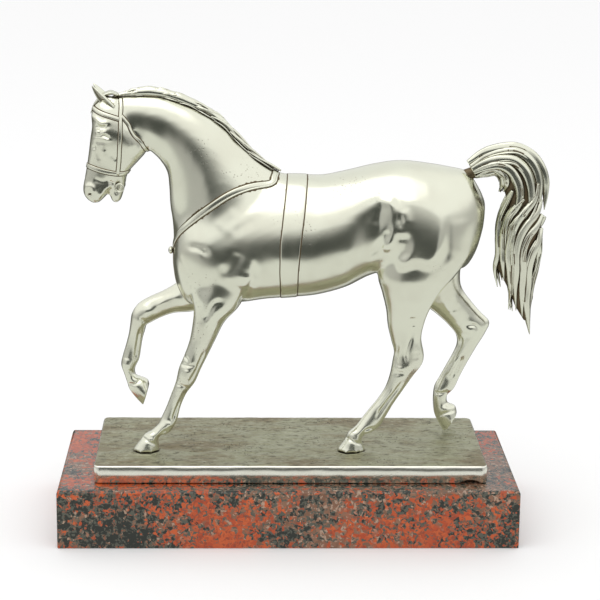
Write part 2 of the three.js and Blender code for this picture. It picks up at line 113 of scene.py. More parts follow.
JAW = [
    [-91, 184, -77, 186.3, 4.6, 0, 0],
    [-91, 178, -80.9, 180, 4, 0, 0],
    [-90.4, 173, -82.3, 173.6, 3.6, 0, 0],
    [-89.8, 169.2, -83.6, 169.2, 3.4, 0, 0],
    [-89.2, 166.8, -84.6, 166.8, 2.8, 0, 0],
    [-88, 165.5, -86, 165.6, 1.5, 0, 0],
]
NEAR_FORE = [
    [-50, 142, -21, 146, 8, -11.5, 0],
    [-50.3, 126, -18.5, 131, 8, -13, 0],
    [-48, 113.5, -24.4, 116.5, 7.4, -14, 0],
    [-48.5, 106, -32.3, 107.6, 6.2, -14.2, 0],
    [-49.9, 98, -37, 98.2, 5.2, -14.3, 0],
    [-52.6, 90, -41.2, 89.4, 4.6, -14.4, 0],
    [-55.3, 83.4, -44.3, 83, 4.8, -14.5, 0],
    [-57, 76, -47.4, 76, 4.4, -14.6, 0],
    [-59.2, 70, -51.6, 70.2, 3.3, -14.7, 0],
    [-61.8, 63, -54.6, 63.2, 2.9, -14.8, 0],
    [-64.4, 57.2, -56.2, 57, 3.1, -14.9, 0],
    [-66.4, 53.4, -57.8, 53, 3.8, -15, 0],
    [-69.5, 50.4, -60.4, 49.6, 3.9, -15, 0],
    [-73, 48.3, -64, 48.2, 4, -15, 0],
    [-74.6, 46.2, -65.7, 46.6, 4.8, -15, 0],
    [-77.4, 42.6, -65.7, 43.4, 5.3, -15, 0],
    [-79, 40.3, -65.4, 40.3, 5.8, -15, 0],
]
FAR_FORE = [
    [-38, 140, -26, 112, 8.5, 11, 0],
    [-49, 128, -38, 108, 8, 12.6, 0],
    [-58, 120.3, -50, 105.6, 6.6, 13.5, 0],
    [-65.4, 115.9, -59, 104.7, 5.5, 13.9, 0],
    [-71.4, 113.2, -66.2, 102, 4.9, 14, 0],
    [-77, 109.6, -71, 99.4, 4.9, 14, 0],
    [-80.4, 104.3, -72.8, 98.3, 4.7, 14, 0],
    [-81.3, 98.8, -73.7, 95.4, 4, 14, 0],
    [-82.1, 93.6, -74.9, 91.4, 3.2, 14, 0],
    [-83.8, 87, -75.9, 85.6, 2.9, 14, 0],
    [-85.4, 81.6, -76.9, 80, 3.2, 14, 0],
    [-86.2, 77, -79.1, 74.6, 3.8, 14, 0],
    [-84.6, 71.8, -78.3, 71.2, 3.6, 14, 0],
    [-83.3, 67.6, -75.6, 70.2, 4, 14, 0],
    [-82.1, 63.8, -72.6, 68.8, 4.8, 14, 0],
    [-78.8, 59.2, -71.9, 66.9, 5.3, 14, 0],
    [-75.1, 55.2, -71.8, 66.2, 5.5, 14, 0],
]
NEAR_HIND = [
    [50, 158, 92, 156, 8, -14, 0],
    [45.5, 142, 90.5, 143, 11, -14.8, 0],
    [44, 131.5, 83, 132, 11, -15, 0],
    [46.2, 123.6, 76.2, 124, 9.4, -15, 0],
    [48.4, 115, 70.8, 114.8, 7.4, -15, 0],
    [49.6, 106, 67.8, 106.4, 5.6, -15, 0],
    [51.6, 98, 66.7, 99.4, 4.7, -15, 0],
    [53, 92.6, 68.2, 90.4, 4.6, -15, 0],
    [52.3, 87, 67.4, 86, 4.7, -15, 0],
    [51.2, 80.4, 63, 79.8, 4.2, -15, 0],
    [49, 73.6, 58, 72.2, 3.5, -15, 0],
    [45.4, 67.6, 53.6, 65.4, 3, -15, 0],
    [41.2, 62.2, 49.6, 58.2, 3, -15, 0],
    [37.6, 57.4, 46.6, 53, 3.5, -15, 0],
    [34.2, 52.8, 43.4, 50.4, 3.9, -15, 0],
    [30.4, 49.2, 39.4, 48.8, 4, -15, 0],
    [28.6, 45.6, 37.5, 46, 4.8, -15, 0],
    [26.5, 42.4, 38.4, 42.6, 5.3, -15, 0],
    [25, 40.3, 39.4, 40.3, 5.8, -15, 0],
]
FAR_HIND = [
    [52, 156, 94, 154, 8, 13, 0],
    [56, 134, 91.6, 140, 11, 14.4, 0],
    [62, 119, 88.8, 128, 9.6, 14.8, 0],
    [69, 110.4, 89.6, 119, 7, 15, 0],
    [76.4, 104.8, 94.3, 112, 5.6, 15.4, 0],
    [83, 98.8, 99.6, 105.6, 4.7, 15.8, 0],
    [87.6, 93, 104.8, 99.8, 4.5, 16, 0],
    [88.2, 88.2, 103, 94.4, 4.6, 16.2, 0],
    [86.3, 82.8, 98.7, 86.8, 4.1, 16.3, 0],
    [83, 76.4, 93.6, 77.2, 3.4, 16.4, 0],
    [79.9, 70.4, 90.2, 70, 3, 16.5, 0],
    [77.2, 65, 87.4, 63.6, 3.6, 16.6, 0],
    [76.6, 60, 84, 59.8, 3.8, 16.6, 0],
    [76.8, 54.6, 84.4, 56, 4, 16.6, 0],
    [77.6, 49.8, 88.2, 54.2, 4.8, 16.6, 0],
    [79.6, 45.4, 89.2, 51.6, 5.3, 16.6, 0],
    [82.6, 40.3, 89.3, 50.2, 5.5, 16.6, 0],
]
TAIL = [
    [85.5, 183.6, 89, 175.5, 3.4, 0, 0],
    [93, 186.5, 95.5, 178.2, 4.3, 0, 0],
    [100, 190.2, 101.4, 179.8, 5, 0, 0],
    [107, 192.5, 104.4, 177.4, 5.8, 0, 0],
    [114, 192.9, 106.6, 172.6, 6.6, 0, 0],
    [121, 190.2, 108.2, 168.4, 7.2, 0, 0],
    [125.8, 183.6, 108, 165.4, 7.6, 0, 0],
    [128.1, 175, 107.2, 161.6, 7.9, 0, 0],
    [127.8, 166, 106.2, 157, 8, 0, 0],
    [127.6, 157, 105.2, 151.4, 8, 0, 0],
    [127.4, 149, 105, 145.4, 7.7, 0, 0],
    [126.5, 141, 105.2, 139, 7.3, 0, 0],
    [125.5, 133.5, 104.4, 133, 6.7, 0, 0],
    [123.8, 126, 107.8, 126.6, 5.8, 0, 0],
    [123.2, 119.5, 111.4, 119.6, 4.8, 0, 0],
    [124, 113, 114.4, 112.4, 3.7, 0, 0],
    [123.9, 107, 118.4, 105.8, 2.6, 0, 0],
    [124.1, 101.6, 121.6, 100.6, 1.5, 0, 0],
    [124.2, 97.6, 123.4, 97.2, 0.5, 0, 0],
]

# Muscles and hollows built into both flanks: place x, z, reach, and height (below zero for a hollow)
MUSCLES = [
    [-45, 140, 13, 1.5],
    [-29, 131, 12, 1.2],
    [-10, 134, 11, -0.8],
    [41, 157, 10, -1.6],
    [66, 141, 17, 1.2],
    [70, 170, 14, 0.5],
    [89, 150, 9, 0.6],
]


# Curves and rings

def smooth_curve(points, shares):
    """Places on a smooth curve through the points, at shares of the way from 0 to 1."""
    points = np.asarray(points, float)
    count = len(points)
    ends = np.vstack([2 * points[0] - points[1], points, 2 * points[-1] - points[-2]])
    steps = np.clip(np.asarray(shares, float), 0, 1) * (count - 1)
    first = np.minimum(steps.astype(int), count - 2)
    part = (steps - first)[:, None]
    before, start, end, after = (ends[first + i] for i in range(4))

    def span(a, b):
        return np.maximum(((b - a) ** 2).sum(1), 1e-12)[:, None] ** 0.25

    middle = span(start, end)
    middle = np.where(middle < 1e-2, 1.0, middle)
    lead = span(before, start)
    lead = np.where(lead < 1e-2, middle, lead)
    trail = span(end, after)
    trail = np.where(trail < 1e-2, middle, trail)
    leave = ((start - before) / lead - (end - before) / (lead + middle) + (end - start) / middle) * middle
    reach = ((end - start) / middle - (after - start) / (middle + trail) + (after - end) / trail) * middle
    bend = -3 * start + 3 * end - 2 * leave - reach
    return start + part * (leave + part * (bend + part * (2 * start - 2 * end + leave + reach)))


def shaped(value, exponent):
    return np.sign(value) * np.abs(value) ** exponent


def unit(vectors):
    return vectors / np.maximum(np.linalg.norm(vectors, axis=-1, keepdims=True), 1e-9)


def muscle_lift(x, z):
    lift = np.zeros_like(x)
    for place_x, place_z, reach, height in MUSCLES:
        lift += height * np.exp(-((x - place_x) ** 2 + (z - place_z) ** 2) / reach ** 2)
    return lift


def body_points(stations, shares, angles, square=2.0, muscled=False, grow=0.0):
    """Points of a body at shares of its length by angles round it; 0 is its front, a quarter turn its far side."""
    table = np.asarray(stations, float)
    shares = np.atleast_1d(shares)
    angles = np.asarray(angles, float)
    if angles.ndim == 1:
        angles = angles[None, :]
    front = smooth_curve(table[:, 0:2], shares)
    back = smooth_curve(table[:, 2:4], shares)
    half_width, middle, lean = smooth_curve(table[:, 4:7], shares).T[:, :, None]
    centre = (front + back) / 2
    depth = np.linalg.norm(front - back, axis=1)[:, None] / 2
    towards = unit(front - back)
    along = shaped(np.cos(angles), 2 / square)
    across = shaped(np.sin(angles), 2 / square)
    x = centre[:, :1] + towards[:, :1] * (depth + grow) * along
    z = centre[:, 1:] + towards[:, 1:] * (depth + grow) * along
    lift = muscle_lift(x, z) if muscled else 0.0
    y = middle + ((half_width + lift) * (1 - lean * along) + grow) * across
    return np.stack(np.broadcast_arrays(x, y, z), axis=2)


def round_angles(count):
    return np.arange(count) * (2 * math.pi / count)


# Modelling helpers

def skin_rings(rings, closed=False, shades=None):
    """A bmesh skinned over rings of points, by extruding a circle's edges ring by ring."""
    bm = bmesh.new()
    hollow = bm.verts.layers.float.new("hollow")
    loop = bmesh.ops.create_circle(bm, segments=len(rings[0]), radius=1)["verts"]
    shades = shades or [0.0] * len(loop)
    edges = list(bm.edges)
    start_edges = edges
    for vert, place, shade in zip(loop, rings[0], shades):
        vert.co = place
        vert[hollow] = shade
    for ring in rings[1:]:
        made = bmesh.ops.extrude_edge_only(bm, edges=edges)["geom"]
        fresh = {item for item in made if isinstance(item, bmesh.types.BMVert)}
        loop = [next(e.other_vert(v) for e in v.link_edges if e.other_vert(v) in fresh) for v in loop]
        edges = [item for item in made if isinstance(item, bmesh.types.BMEdge) and fresh.issuperset(item.verts)]
        for vert, place, shade in zip(loop, ring, shades):
            vert.co = place
            vert[hollow] = shade
    if closed:
        bmesh.ops.bridge_loops(bm, edges=start_edges + edges)
    else:
        bmesh.ops.contextual_create(bm, geom=start_edges)
        bmesh.ops.contextual_create(bm, geom=edges)
    bmesh.ops.recalc_face_normals(bm, faces=bm.faces)
    return bm


def gather(parts):
    """One bmesh from several."""
    whole = bmesh.new()
    for part in parts:
        mesh = bpy.data.meshes.new("part")
        part.to_mesh(mesh)
        part.free()
        whole.from_mesh(mesh)
        bpy.data.meshes.remove(mesh)
    return whole


def finish_piece(name, bm, material, replaced=()):
    """Turn a bmesh in millimetres into a finished piece that rides on the body."""
    bmesh.ops.scale(bm, vec=(MM, MM, MM), verts=bm.verts)
    for face in bm.faces:
        face.smooth = True
    mesh = bpy.data.meshes.new(name)
    bm.to_mesh(mesh)
    bm.free()
    piece = bpy.data.objects.new(name, mesh)
    bpy.context.scene.collection.objects.link(piece)
    mesh.materials.append(material)
    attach(piece, "root")
    if replaced:
        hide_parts(*replaced)
    return piece


def mesh_points(mesh):
    points = np.empty(len(mesh.vertices) * 3)
    mesh.vertices.foreach_get("co", points)
    return points.reshape(-1, 3)


def mesh_normals(mesh):
    normals = np.empty(len(mesh.vertices) * 3)
    mesh.vertex_normals.foreach_get("vector", normals)
    return normals.reshape(-1, 3)


def mesh_edges(mesh):
    edges = np.empty(len(mesh.edges) * 2, np.int32)
    mesh.edges.foreach_get("vertices", edges)
    return edges.reshape(-1, 2)


def relax(points, edges, strength, rounds, keep=True):
    """Even out a mesh, by default without shrinking it; strength is one number or one for each point."""
    count = len(points)
    ends = np.concatenate([edges[:, 0], edges[:, 1]])
    others = np.concatenate([edges[:, 1], edges[:, 0]])
    links = np.maximum(np.bincount(ends, minlength=count), 1)[:, None]
    for step in range(rounds):
        mean = np.stack([np.bincount(ends, points[others, k], count) for k in range(3)], axis=1) / links
        pull = -1.03 if keep and step % 2 else 1.0
        points = points + pull * strength * (mean - points)
    return points


def surface_tree(*names):
    """A search tree, in millimetres, of the faces of finished pieces."""
    points, faces = [], []
    for name in names:
        mesh = bpy.data.objects[name].data
        start = len(points)
        points.extend((mesh_points(mesh) / MM).tolist())
        faces.extend([start + i for i in polygon.vertices] for polygon in mesh.polygons)
    return BVHTree.FromPolygons(points, faces)


def mark_hollows(piece, tree, reach, rays=10):
    """Store how closed in each point is, as the attribute that tarnish gathers by."""
    mesh = piece.data
    points = mesh_points(mesh) / MM
    normals = mesh_normals(mesh)
    golden = math.pi * (3 - math.sqrt(5))
    tilts = []
    for i in range(rays):
        height = math.sqrt((i + 0.5) / rays)
        flat = math.sqrt(1 - height * height)
        tilts.append((flat * math.cos(golden * i), flat * math.sin(golden * i), height))
    helper = np.where(np.abs(normals[:, 2:]) < 0.9, np.array([[0.0, 0, 1]]), np.array([[1.0, 0, 0]]))
    side = unit(np.cross(normals, helper))
    other = np.cross(normals, side)
    hidden = np.zeros(len(points))
    starts = points + 0.06 * normals
    start_list = [Vector(p) for p in starts.tolist()]
    for a, b, c in tilts:
        ways = (a * side + b * other + c * normals).tolist()
        for i, (start, way) in enumerate(zip(start_list, ways)):
            distance = tree.ray_cast(start, way, reach)[3]
            if distance is not None:
                hidden[i] += 1 - distance / reach
    layer = mesh.attributes.get("hollow") or mesh.attributes.new("hollow", "FLOAT", "POINT")
    painted = np.zeros(len(points), np.float32)
    layer.data.foreach_get("value", painted)
    layer.data.foreach_set("value", np.maximum(painted, hidden / rays).astype(np.float32))


# Carving

def line_distance(flat, line):
    """Distance of points on a plane from a line of points, and how far along it the nearest place is."""
    line = np.asarray(line, float).reshape(-1, 2)
    if len(line) == 1:
        return np.linalg.norm(flat - line[0], axis=1), np.full(len(flat), 0.5)
    lengths = np.linalg.norm(np.diff(line, axis=0), axis=1)
    starts = np.concatenate([[0], np.cumsum(lengths)])
    best = np.full(len(flat), 1e9)
    share = np.zeros(len(flat))
    for i, length in enumerate(lengths):
        way = (line[i + 1] - line[i]) / length
        along = np.clip((flat - line[i]) @ way, 0, length)
        away = np.linalg.norm(flat - line[i] - along[:, None] * way, axis=1)
        closer = away < best
        best = np.where(closer, away, best)
        share = np.where(closer, (starts[i] + along) / starts[-1], share)
    return best, share


def smooth_line(line, pieces=6):
    return line if len(line) < 3 else smooth_curve(line, np.linspace(0, 1, pieces * (len(line) - 1) + 1))


def gate(value, low, high):
    step = np.clip((value - low) / (high - low), 0, 1)
    return step * step * (3 - 2 * step)


def seen_plane(points, plane):
    """Where points show, seen by the photo camera, on the upright plane at that y; far sides are mirrored to it."""
    eye_x, eye_y, eye_z = CAMERA["place"]
    depth = plane - np.abs(points[:, 1] - plane)
    scale = (plane - eye_y) / (depth - eye_y)
    return np.stack([eye_x + (points[:, 0] - eye_x) * scale, eye_z + (points[:, 2] - eye_z) * scale], axis=1)


def carve(points, normals, strokes, plane=0.0, reach_y=40.0):
    """Raise or sink the surface along lines as they show from the side: line (x, z), reach, height, side."""
    flat = seen_plane(points, plane)
    at_hand = np.abs(points[:, 1] - plane) < reach_y
    for line, reach, height, side in strokes:
        line = np.asarray(smooth_line(line), float).reshape(-1, 2)
        low, high = line.min(0) - 2.6 * reach, line.max(0) + 2.6 * reach
        near = np.flatnonzero(((flat > low) & (flat < high)).all(1) & at_hand)
        away, share = line_distance(flat[near], line)
        weight = np.exp(-(away / reach) ** 2)
        if len(line) > 1:
            weight *= np.minimum(1, 4.5 * np.minimum(share, 1 - share) + 0.25)
        facing = normals[near, 1]
        if side == BOTH:
            weight *= gate(np.abs(facing), 0.05, 0.45)
        else:
            weight *= gate(facing * side, 0.05, 0.45)
        points[near] += normals[near] * (height * weight)[:, None]
    return points


def inside_share(flat, outline, soft):
    """1 well inside a closed outline, 0 outside it, with a soft edge."""
    line = smooth_curve(outline + outline[:1], np.linspace(0, 1, 6 * len(outline) + 1))
    away = line_distance(flat, line)[0]
    inside = np.zeros(len(flat), bool)
    for (x0, z0), (x1, z1) in zip(line[:-1], line[1:]):
        spans = (z0 > flat[:, 1]) != (z1 > flat[:, 1])
        inside ^= spans & (flat[:, 0] < x0 + (flat[:, 1] - z0) * (x1 - x0) / (z1 - z0 if z1 != z0 else 1.0))
    return gate(np.where(inside, away, -away), -soft, soft)


def settle(points, normals, sheets):
    """Bring both flanks to given half widths: a value at a place, its slopes, its bends and its twist."""
    flat = seen_plane(points, 0)
    outer = gate(np.abs(normals[:, 1]), 0.15, 0.5) * gate(normals[:, 1] * points[:, 1], 0, 1)
    for outline, soft, (x, z), width, (slope_x, slope_z), (bend_x, bend_z), twist in sheets:
        dx, dz = flat[:, 0] - x, flat[:, 1] - z
        goal = width + slope_x * dx + slope_z * dz - bend_x * dx ** 2 - bend_z * dz ** 2 + twist * dx * dz
        share = inside_share(flat, outline, soft) * outer * (np.abs(points[:, 1]) > 10)
        points[:, 1] += share * np.sign(points[:, 1]) * (goal - np.abs(points[:, 1]))
    return points


# Straps laid on the surface

def lay_on(tree, guess):
    """The nearest places of the surface to guessed points, and the surface's way out there."""
    places, outward = [], []
    for point in guess.tolist():
        place, normal, _, _ = tree.find_nearest(point)
        places.append(place)
        outward.append(normal)
    return np.array([tuple(p) for p in places]), np.array([tuple(n) for n in outward])


def blur_rows(rows, times, closed):
    for _ in range(times):
        if closed:
            rows = (np.roll(rows, 1, 0) + 2 * rows + np.roll(rows, -1, 0)) / 4
        else:
            inner = (rows[:-2] + 2 * rows[1:-1] + rows[2:]) / 4
            rows = np.vstack([rows[:1], inner, rows[-1:]])
    return rows


def lay_strap(tree, path, widths, profile, pieces, closed=False, sunk=0.5, blur=3):
    """A strap along a path of points; profile lists places across it (-1 to 1), their height and their dirt."""
    shares = np.arange(pieces) / pieces if closed else np.linspace(0, 1, pieces)
    guess = smooth_curve(path + [path[0]] if closed else path, shares)
    middle, outward = lay_on(tree, guess)
    middle = blur_rows(middle, blur, closed)
    outward = unit(blur_rows(outward, blur + 3, closed))
    ahead = unit(np.roll(middle, -1, 0) - np.roll(middle, 1, 0) if closed else np.gradient(middle, axis=0))
    across = unit(np.cross(outward, ahead))
    half = np.interp(shares, np.linspace(0, 1, len(widths)), widths)[:, None] / 2
    top, under = [], []
    for place, height, _ in profile:
        spot, normal = lay_on(tree, middle + across * half * place)
        spot = blur_rows(spot, blur, closed)
        normal = unit(blur_rows(normal, blur, closed))
        top.append(spot + normal * height)
        under.append(spot - normal * sunk)
    rings = np.stack(top + [under[-1], under[len(under) // 2], under[0]], axis=1)
    return skin_rings(rings, closed, [dirt for _, _, dirt in profile] + [1.0] * 3)


# Locks of hair

def lock_rings(path, out, across, proud, pieces, around=12, grooves=4, groove=0.12, turn=0.0):
    """Rings of a grooved lock of hair along a path; across and proud are half sizes along it."""
    shares = np.linspace(0, 1, pieces)
    middle = smooth_curve(path, shares)
    outward = smooth_curve(out, shares) if np.ndim(out) == 2 else np.tile(out, (pieces, 1))
    ahead = unit(np.gradient(middle, axis=0))
    side = unit(np.cross(ahead, outward))
    up = np.cross(side, ahead)
    sizes = np.linspace(0, 1, len(across))
    half = np.interp(shares, sizes, across)[:, None, None]
    thick = np.interp(shares, np.linspace(0, 1, len(proud)), proud)[:, None, None]
    angles = round_angles(around)[None, :]
    strand = 1 + groove * np.cos(grooves * angles + turn * shares[:, None])
    return (middle[:, None, :] + side[:, None, :] * (half * (strand * np.cos(angles))[:, :, None])
            + up[:, None, :] * (thick * (strand * np.sin(angles))[:, :, None]))


# Sizes and colours that a user would change

class StatuetteSettings(bpy.types.PropertyGroup):
    voxel: FloatProperty(
        name="Casting grain", description="Size of the steps the horse's body is joined with",
        default=1.12 * MM, min=0.4 * MM, max=3 * MM, unit="LENGTH", precision=5)
    girth_relief: FloatProperty(
        name="Girth relief", description="How far the girth band stands proud of the belly",
        default=0.28 * MM, min=0, max=2 * MM, unit="LENGTH", precision=5)
    strap_width: FloatProperty(
        name="Breast strap width", description="Width of the strap round the chest",
        default=3.1 * MM, min=1 * MM, max=8 * MM, unit="LENGTH", precision=5)
    bridle_width: FloatProperty(
        name="Bridle width", description="Width of the bridle's straps",
        default=1.7 * MM, min=0.5 * MM, max=4 * MM, unit="LENGTH", precision=5)
    tail_locks: IntProperty(
        name="Tail strands", description="Thin strands over the tail's main locks", default=42, min=0, max=120)
    mane_locks: IntProperty(
        name="Mane locks", description="Locks of hair along the crest", default=26, min=6, max=90)
    plinth_edge: FloatProperty(
        name="Plinth edge", description="Rounding along the plinth's top edges",
        default=1.8 * MM, min=0.2 * MM, max=6 * MM, unit="LENGTH", precision=5)
    silver: FloatVectorProperty(
        name="Silver", description="Colour of the clean metal", subtype="COLOR", size=3,
        default=(0.84, 0.85, 0.71), min=0, max=1)
    tarnish: FloatVectorProperty(
        name="Tarnish", description="Colour of the dark film in the hollows", subtype="COLOR", size=3,
        default=(0.16, 0.12, 0.07), min=0, max=1)
    red_grain: FloatVectorProperty(
        name="Red grain", description="Main colour of the granite", subtype="COLOR", size=3,
        default=(0.38, 0.06, 0.02), min=0, max=1)
    dark_grain: FloatVectorProperty(
        name="Dark grain", description="Colour of the granite's dark grains", subtype="COLOR", size=3,
        default=(0.022, 0.025, 0.02), min=0, max=1)


def settings():
    return bpy.context.scene.statuette


# Materials

def add_node(tree, kind, inputs=None, **values):
    """A shader node with its settings, and its inputs as numbers or as links from sockets."""
    made = tree.nodes.new(kind)
    for key, value in values.items():
        setattr(made, key, value)
    for key, value in (inputs or {}).items():
        socket = made.inputs[key]
        if isinstance(value, bpy.types.NodeSocket):
            tree.links.new(value, socket)
        else:
            socket.default_value = value
    return made


def add_math(tree, operation, a, b=None, c=None, clamp=False):
    inputs = {i: v for i, v in enumerate((a, b, c)) if v is not None}
    return add_node(tree, "ShaderNodeMath", inputs, operation=operation, use_clamp=clamp).outputs[0]


def add_mix(tree, share, a, b, blend="MIX"):
    made = add_node(tree, "ShaderNodeMix", {"Factor": share}, data_type="RGBA", blend_type=blend)
    for index, value in ((6, a), (7, b)):
        if isinstance(value, bpy.types.NodeSocket):
            tree.links.new(value, made.inputs[index])
        else:
            made.inputs[index].default_value = (*value[:3], 1)
    return made.outputs[2]


def add_range(tree, value, low, high, start=0.0, end=1.0, smooth=True):
    return add_node(
        tree, "ShaderNodeMapRange",
        {"Value": value, "From Min": low, "From Max": high, "To Min": start, "To Max": end},
        interpolation_type="SMOOTHSTEP" if smooth else "LINEAR").outputs[0]


def new_group(name, inputs, outputs):
    """An empty shader node group with named sockets."""
    group = bpy.data.node_groups.new(name, "ShaderNodeTree")
    for label, kind, value in inputs:
        socket = group.interface.new_socket(label, in_out="INPUT", socket_type=kind)
        socket.default_value = value
    for label, kind in outputs:
        group.interface.new_socket(label, in_out="OUTPUT", socket_type=kind)
    return group, group.nodes.new("NodeGroupInput"), group.nodes.new("NodeGroupOutput")


def cast_metal_group():
    """The finish of the cast metal: clean metal, tarnish in the hollows, clouds, pits and fine grain."""
    if "cast metal finish" in bpy.data.node_groups:
        return bpy.data.node_groups["cast metal finish"]
    group, given, out = new_group(
        "cast metal finish",
        [("Metal", "NodeSocketColor", (0.8, 0.8, 0.75, 1)), ("Tarnish", "NodeSocketColor", (0.2, 0.15, 0.1, 1)),
         ("Tarnish Amount", "NodeSocketFloat", 1.0), ("Polish", "NodeSocketFloat", 0.25),
         ("Pits", "NodeSocketFloat", 0.5)],
        [("Color", "NodeSocketColor"), ("Roughness", "NodeSocketFloat"), ("Height", "NodeSocketFloat")])
    place = add_node(group, "ShaderNodeTexCoord").outputs["Object"]
    hollow = add_node(group, "ShaderNodeAttribute", attribute_name="hollow").outputs["Fac"]
    clouds = add_node(group, "ShaderNodeTexNoise", {"Vector": place, "Scale": 60, "Detail": 3}).outputs["Fac"]
    grain = add_node(group, "ShaderNodeTexNoise", {"Vector": place, "Scale": 900, "Detail": 3}).outputs["Fac"]
    where = add_node(group, "ShaderNodeTexNoise", {"Vector": place, "Scale": 32, "Detail": 2}).outputs["Fac"]
    cells = add_node(group, "ShaderNodeTexVoronoi", {"Vector": place, "Scale": 620}, feature="F1").outputs["Distance"]
    pit = add_math(group, "MULTIPLY", add_range(group, cells, 0.26, 0.12), add_range(group, where, 0.60, 0.72))
    pit = add_math(group, "MULTIPLY", pit, given.outputs["Pits"])
    dirt = add_range(group, add_math(group, "ADD", hollow, add_math(group, "MULTIPLY", clouds, 0.16)), 0.22, 0.62)
    dirt = add_math(group, "MULTIPLY", dirt, given.outputs["Tarnish Amount"], clamp=True)
    shade = add_math(group, "MAXIMUM", dirt, add_math(group, "MULTIPLY", pit, 0.8))
    soft = add_mix(group, add_range(group, clouds, 0.35, 0.75, 0.0, 0.16), given.outputs["Metal"],
                   (0.62, 0.56, 0.45))
    colour = add_mix(group, shade, soft, given.outputs["Tarnish"])
    rough = add_math(group, "ADD", given.outputs["Polish"], add_math(group, "MULTIPLY", shade, 0.3))
    rough = add_math(group, "ADD", rough, add_range(group, clouds, 0.3, 0.7, -0.02, 0.05))
    height = add_math(group, "SUBTRACT", add_math(group, "MULTIPLY", grain, 0.18), pit)
    group.links.new(colour, out.inputs["Color"])
    group.links.new(rough, out.inputs["Roughness"])
    group.links.new(height, out.inputs["Height"])
    return group


def metal_material(name, metal, tarnish, amount, polish, pits, relief):
    """A cast metal with its own colours and polish."""
    material = bpy.data.materials.new(name)
    material.use_nodes = True
    tree = material.node_tree
    shader = tree.nodes["Principled BSDF"]
    shader.inputs["Metallic"].default_value = 1.0
    finish = add_node(tree, "ShaderNodeGroup", node_tree=cast_metal_group())
    for label, value in (("Metal", (*metal, 1)), ("Tarnish", (*tarnish, 1)), ("Tarnish Amount", amount),
                         ("Polish", polish), ("Pits", pits)):
        finish.inputs[label].default_value = value
    bump = add_node(tree, "ShaderNodeBump", {"Strength": 0.5, "Distance": relief, "Height": finish.outputs["Height"]})
    tree.links.new(finish.outputs["Color"], shader.inputs["Base Color"])
    tree.links.new(finish.outputs["Roughness"], shader.inputs["Roughness"])
    tree.links.new(bump.outputs["Normal"], shader.inputs["Normal"])
    return material


def silver_material():
    own = settings()
    return bpy.data.materials.get("silvered metal") or metal_material(
        "silvered metal", own.silver, own.tarnish, 1.0, 0.2, 0.6, 0.05 * MM)


def plate_material():
    """Rough cast metal, dull and pitted on top and clean and satin on its edges."""
    own = settings()
    material = bpy.data.materials.new("ground plate metal")
    material.use_nodes = True
    tree = material.node_tree
    shader = tree.nodes["Principled BSDF"]
    shader.inputs["Metallic"].default_value = 1.0
    place = add_node(tree, "ShaderNodeTexCoord").outputs["Object"]
    top = add_node(tree, "ShaderNodeAttribute", attribute_name="ground").outputs["Fac"]
    hollow = add_node(tree, "ShaderNodeAttribute", attribute_name="hollow").outputs["Fac"]
    stretch = add_node(tree, "ShaderNodeMapping", {"Vector": place, "Scale": (0.45, 1, 1)}).outputs[0]
    rust = add_node(tree, "ShaderNodeTexNoise", {"Vector": stretch, "Scale": 38, "Detail": 6, "Roughness": 0.7}).outputs["Fac"]
    specks = add_node(tree, "ShaderNodeTexNoise", {"Vector": stretch, "Scale": 520, "Detail": 4, "Roughness": 0.7}).outputs["Fac"]
    cells = add_node(tree, "ShaderNodeTexVoronoi", {"Vector": place, "Scale": 560}, feature="F1").outputs["Distance"]
    patchy = add_node(tree, "ShaderNodeTexNoise", {"Vector": place, "Scale": 70, "Detail": 3}).outputs["Fac"]
    pit = add_math(tree, "MULTIPLY", add_range(tree, cells, 0.3, 0.12), add_range(tree, patchy, 0.5, 0.6))
    dull = add_mix(tree, add_range(tree, rust, 0.4, 0.62), (0.43, 0.43, 0.31), (0.29, 0.25, 0.16))
    dull = add_mix(tree, add_range(tree, specks, 0.5, 0.68, 0.0, 0.75), dull, (0.13, 0.12, 0.08))
    dull = add_mix(tree, add_range(tree, specks, 0.44, 0.32, 0.0, 0.5), dull, (0.62, 0.62, 0.48))
    dull = add_mix(tree, add_math(tree, "MULTIPLY", pit, 0.85), dull, (0.05, 0.05, 0.04))
    dull = add_mix(tree, add_range(tree, hollow, 0.2, 0.55, 0.0, 0.8), dull, own.tarnish)
    smudge = add_range(tree, patchy, 0.35, 0.7, 0.0, 0.12)
    clean = add_mix(tree, smudge, (0.93, 0.92, 0.82), (0.55, 0.5, 0.38))
    colour = add_mix(tree, add_range(tree, top, 0.05, 0.7), clean, dull)
    rough = add_math(tree, "MULTIPLY_ADD", add_range(tree, top, 0.0, 0.8), 0.32, 0.2)
    height = add_math(tree, "SUBTRACT", add_math(tree, "MULTIPLY", specks, 0.8), pit)
    height = add_math(tree, "MULTIPLY", height, add_range(tree, top, 0.0, 0.8, 0.08, 1.0))
    bump = add_node(tree, "ShaderNodeBump", {"Strength": 0.8, "Distance": 0.3 * MM, "Height": height})
    tree.links.new(colour, shader.inputs["Base Color"])
    tree.links.new(rough, shader.inputs["Roughness"])
    tree.links.new(bump.outputs["Normal"], shader.inputs["Normal"])
    return material


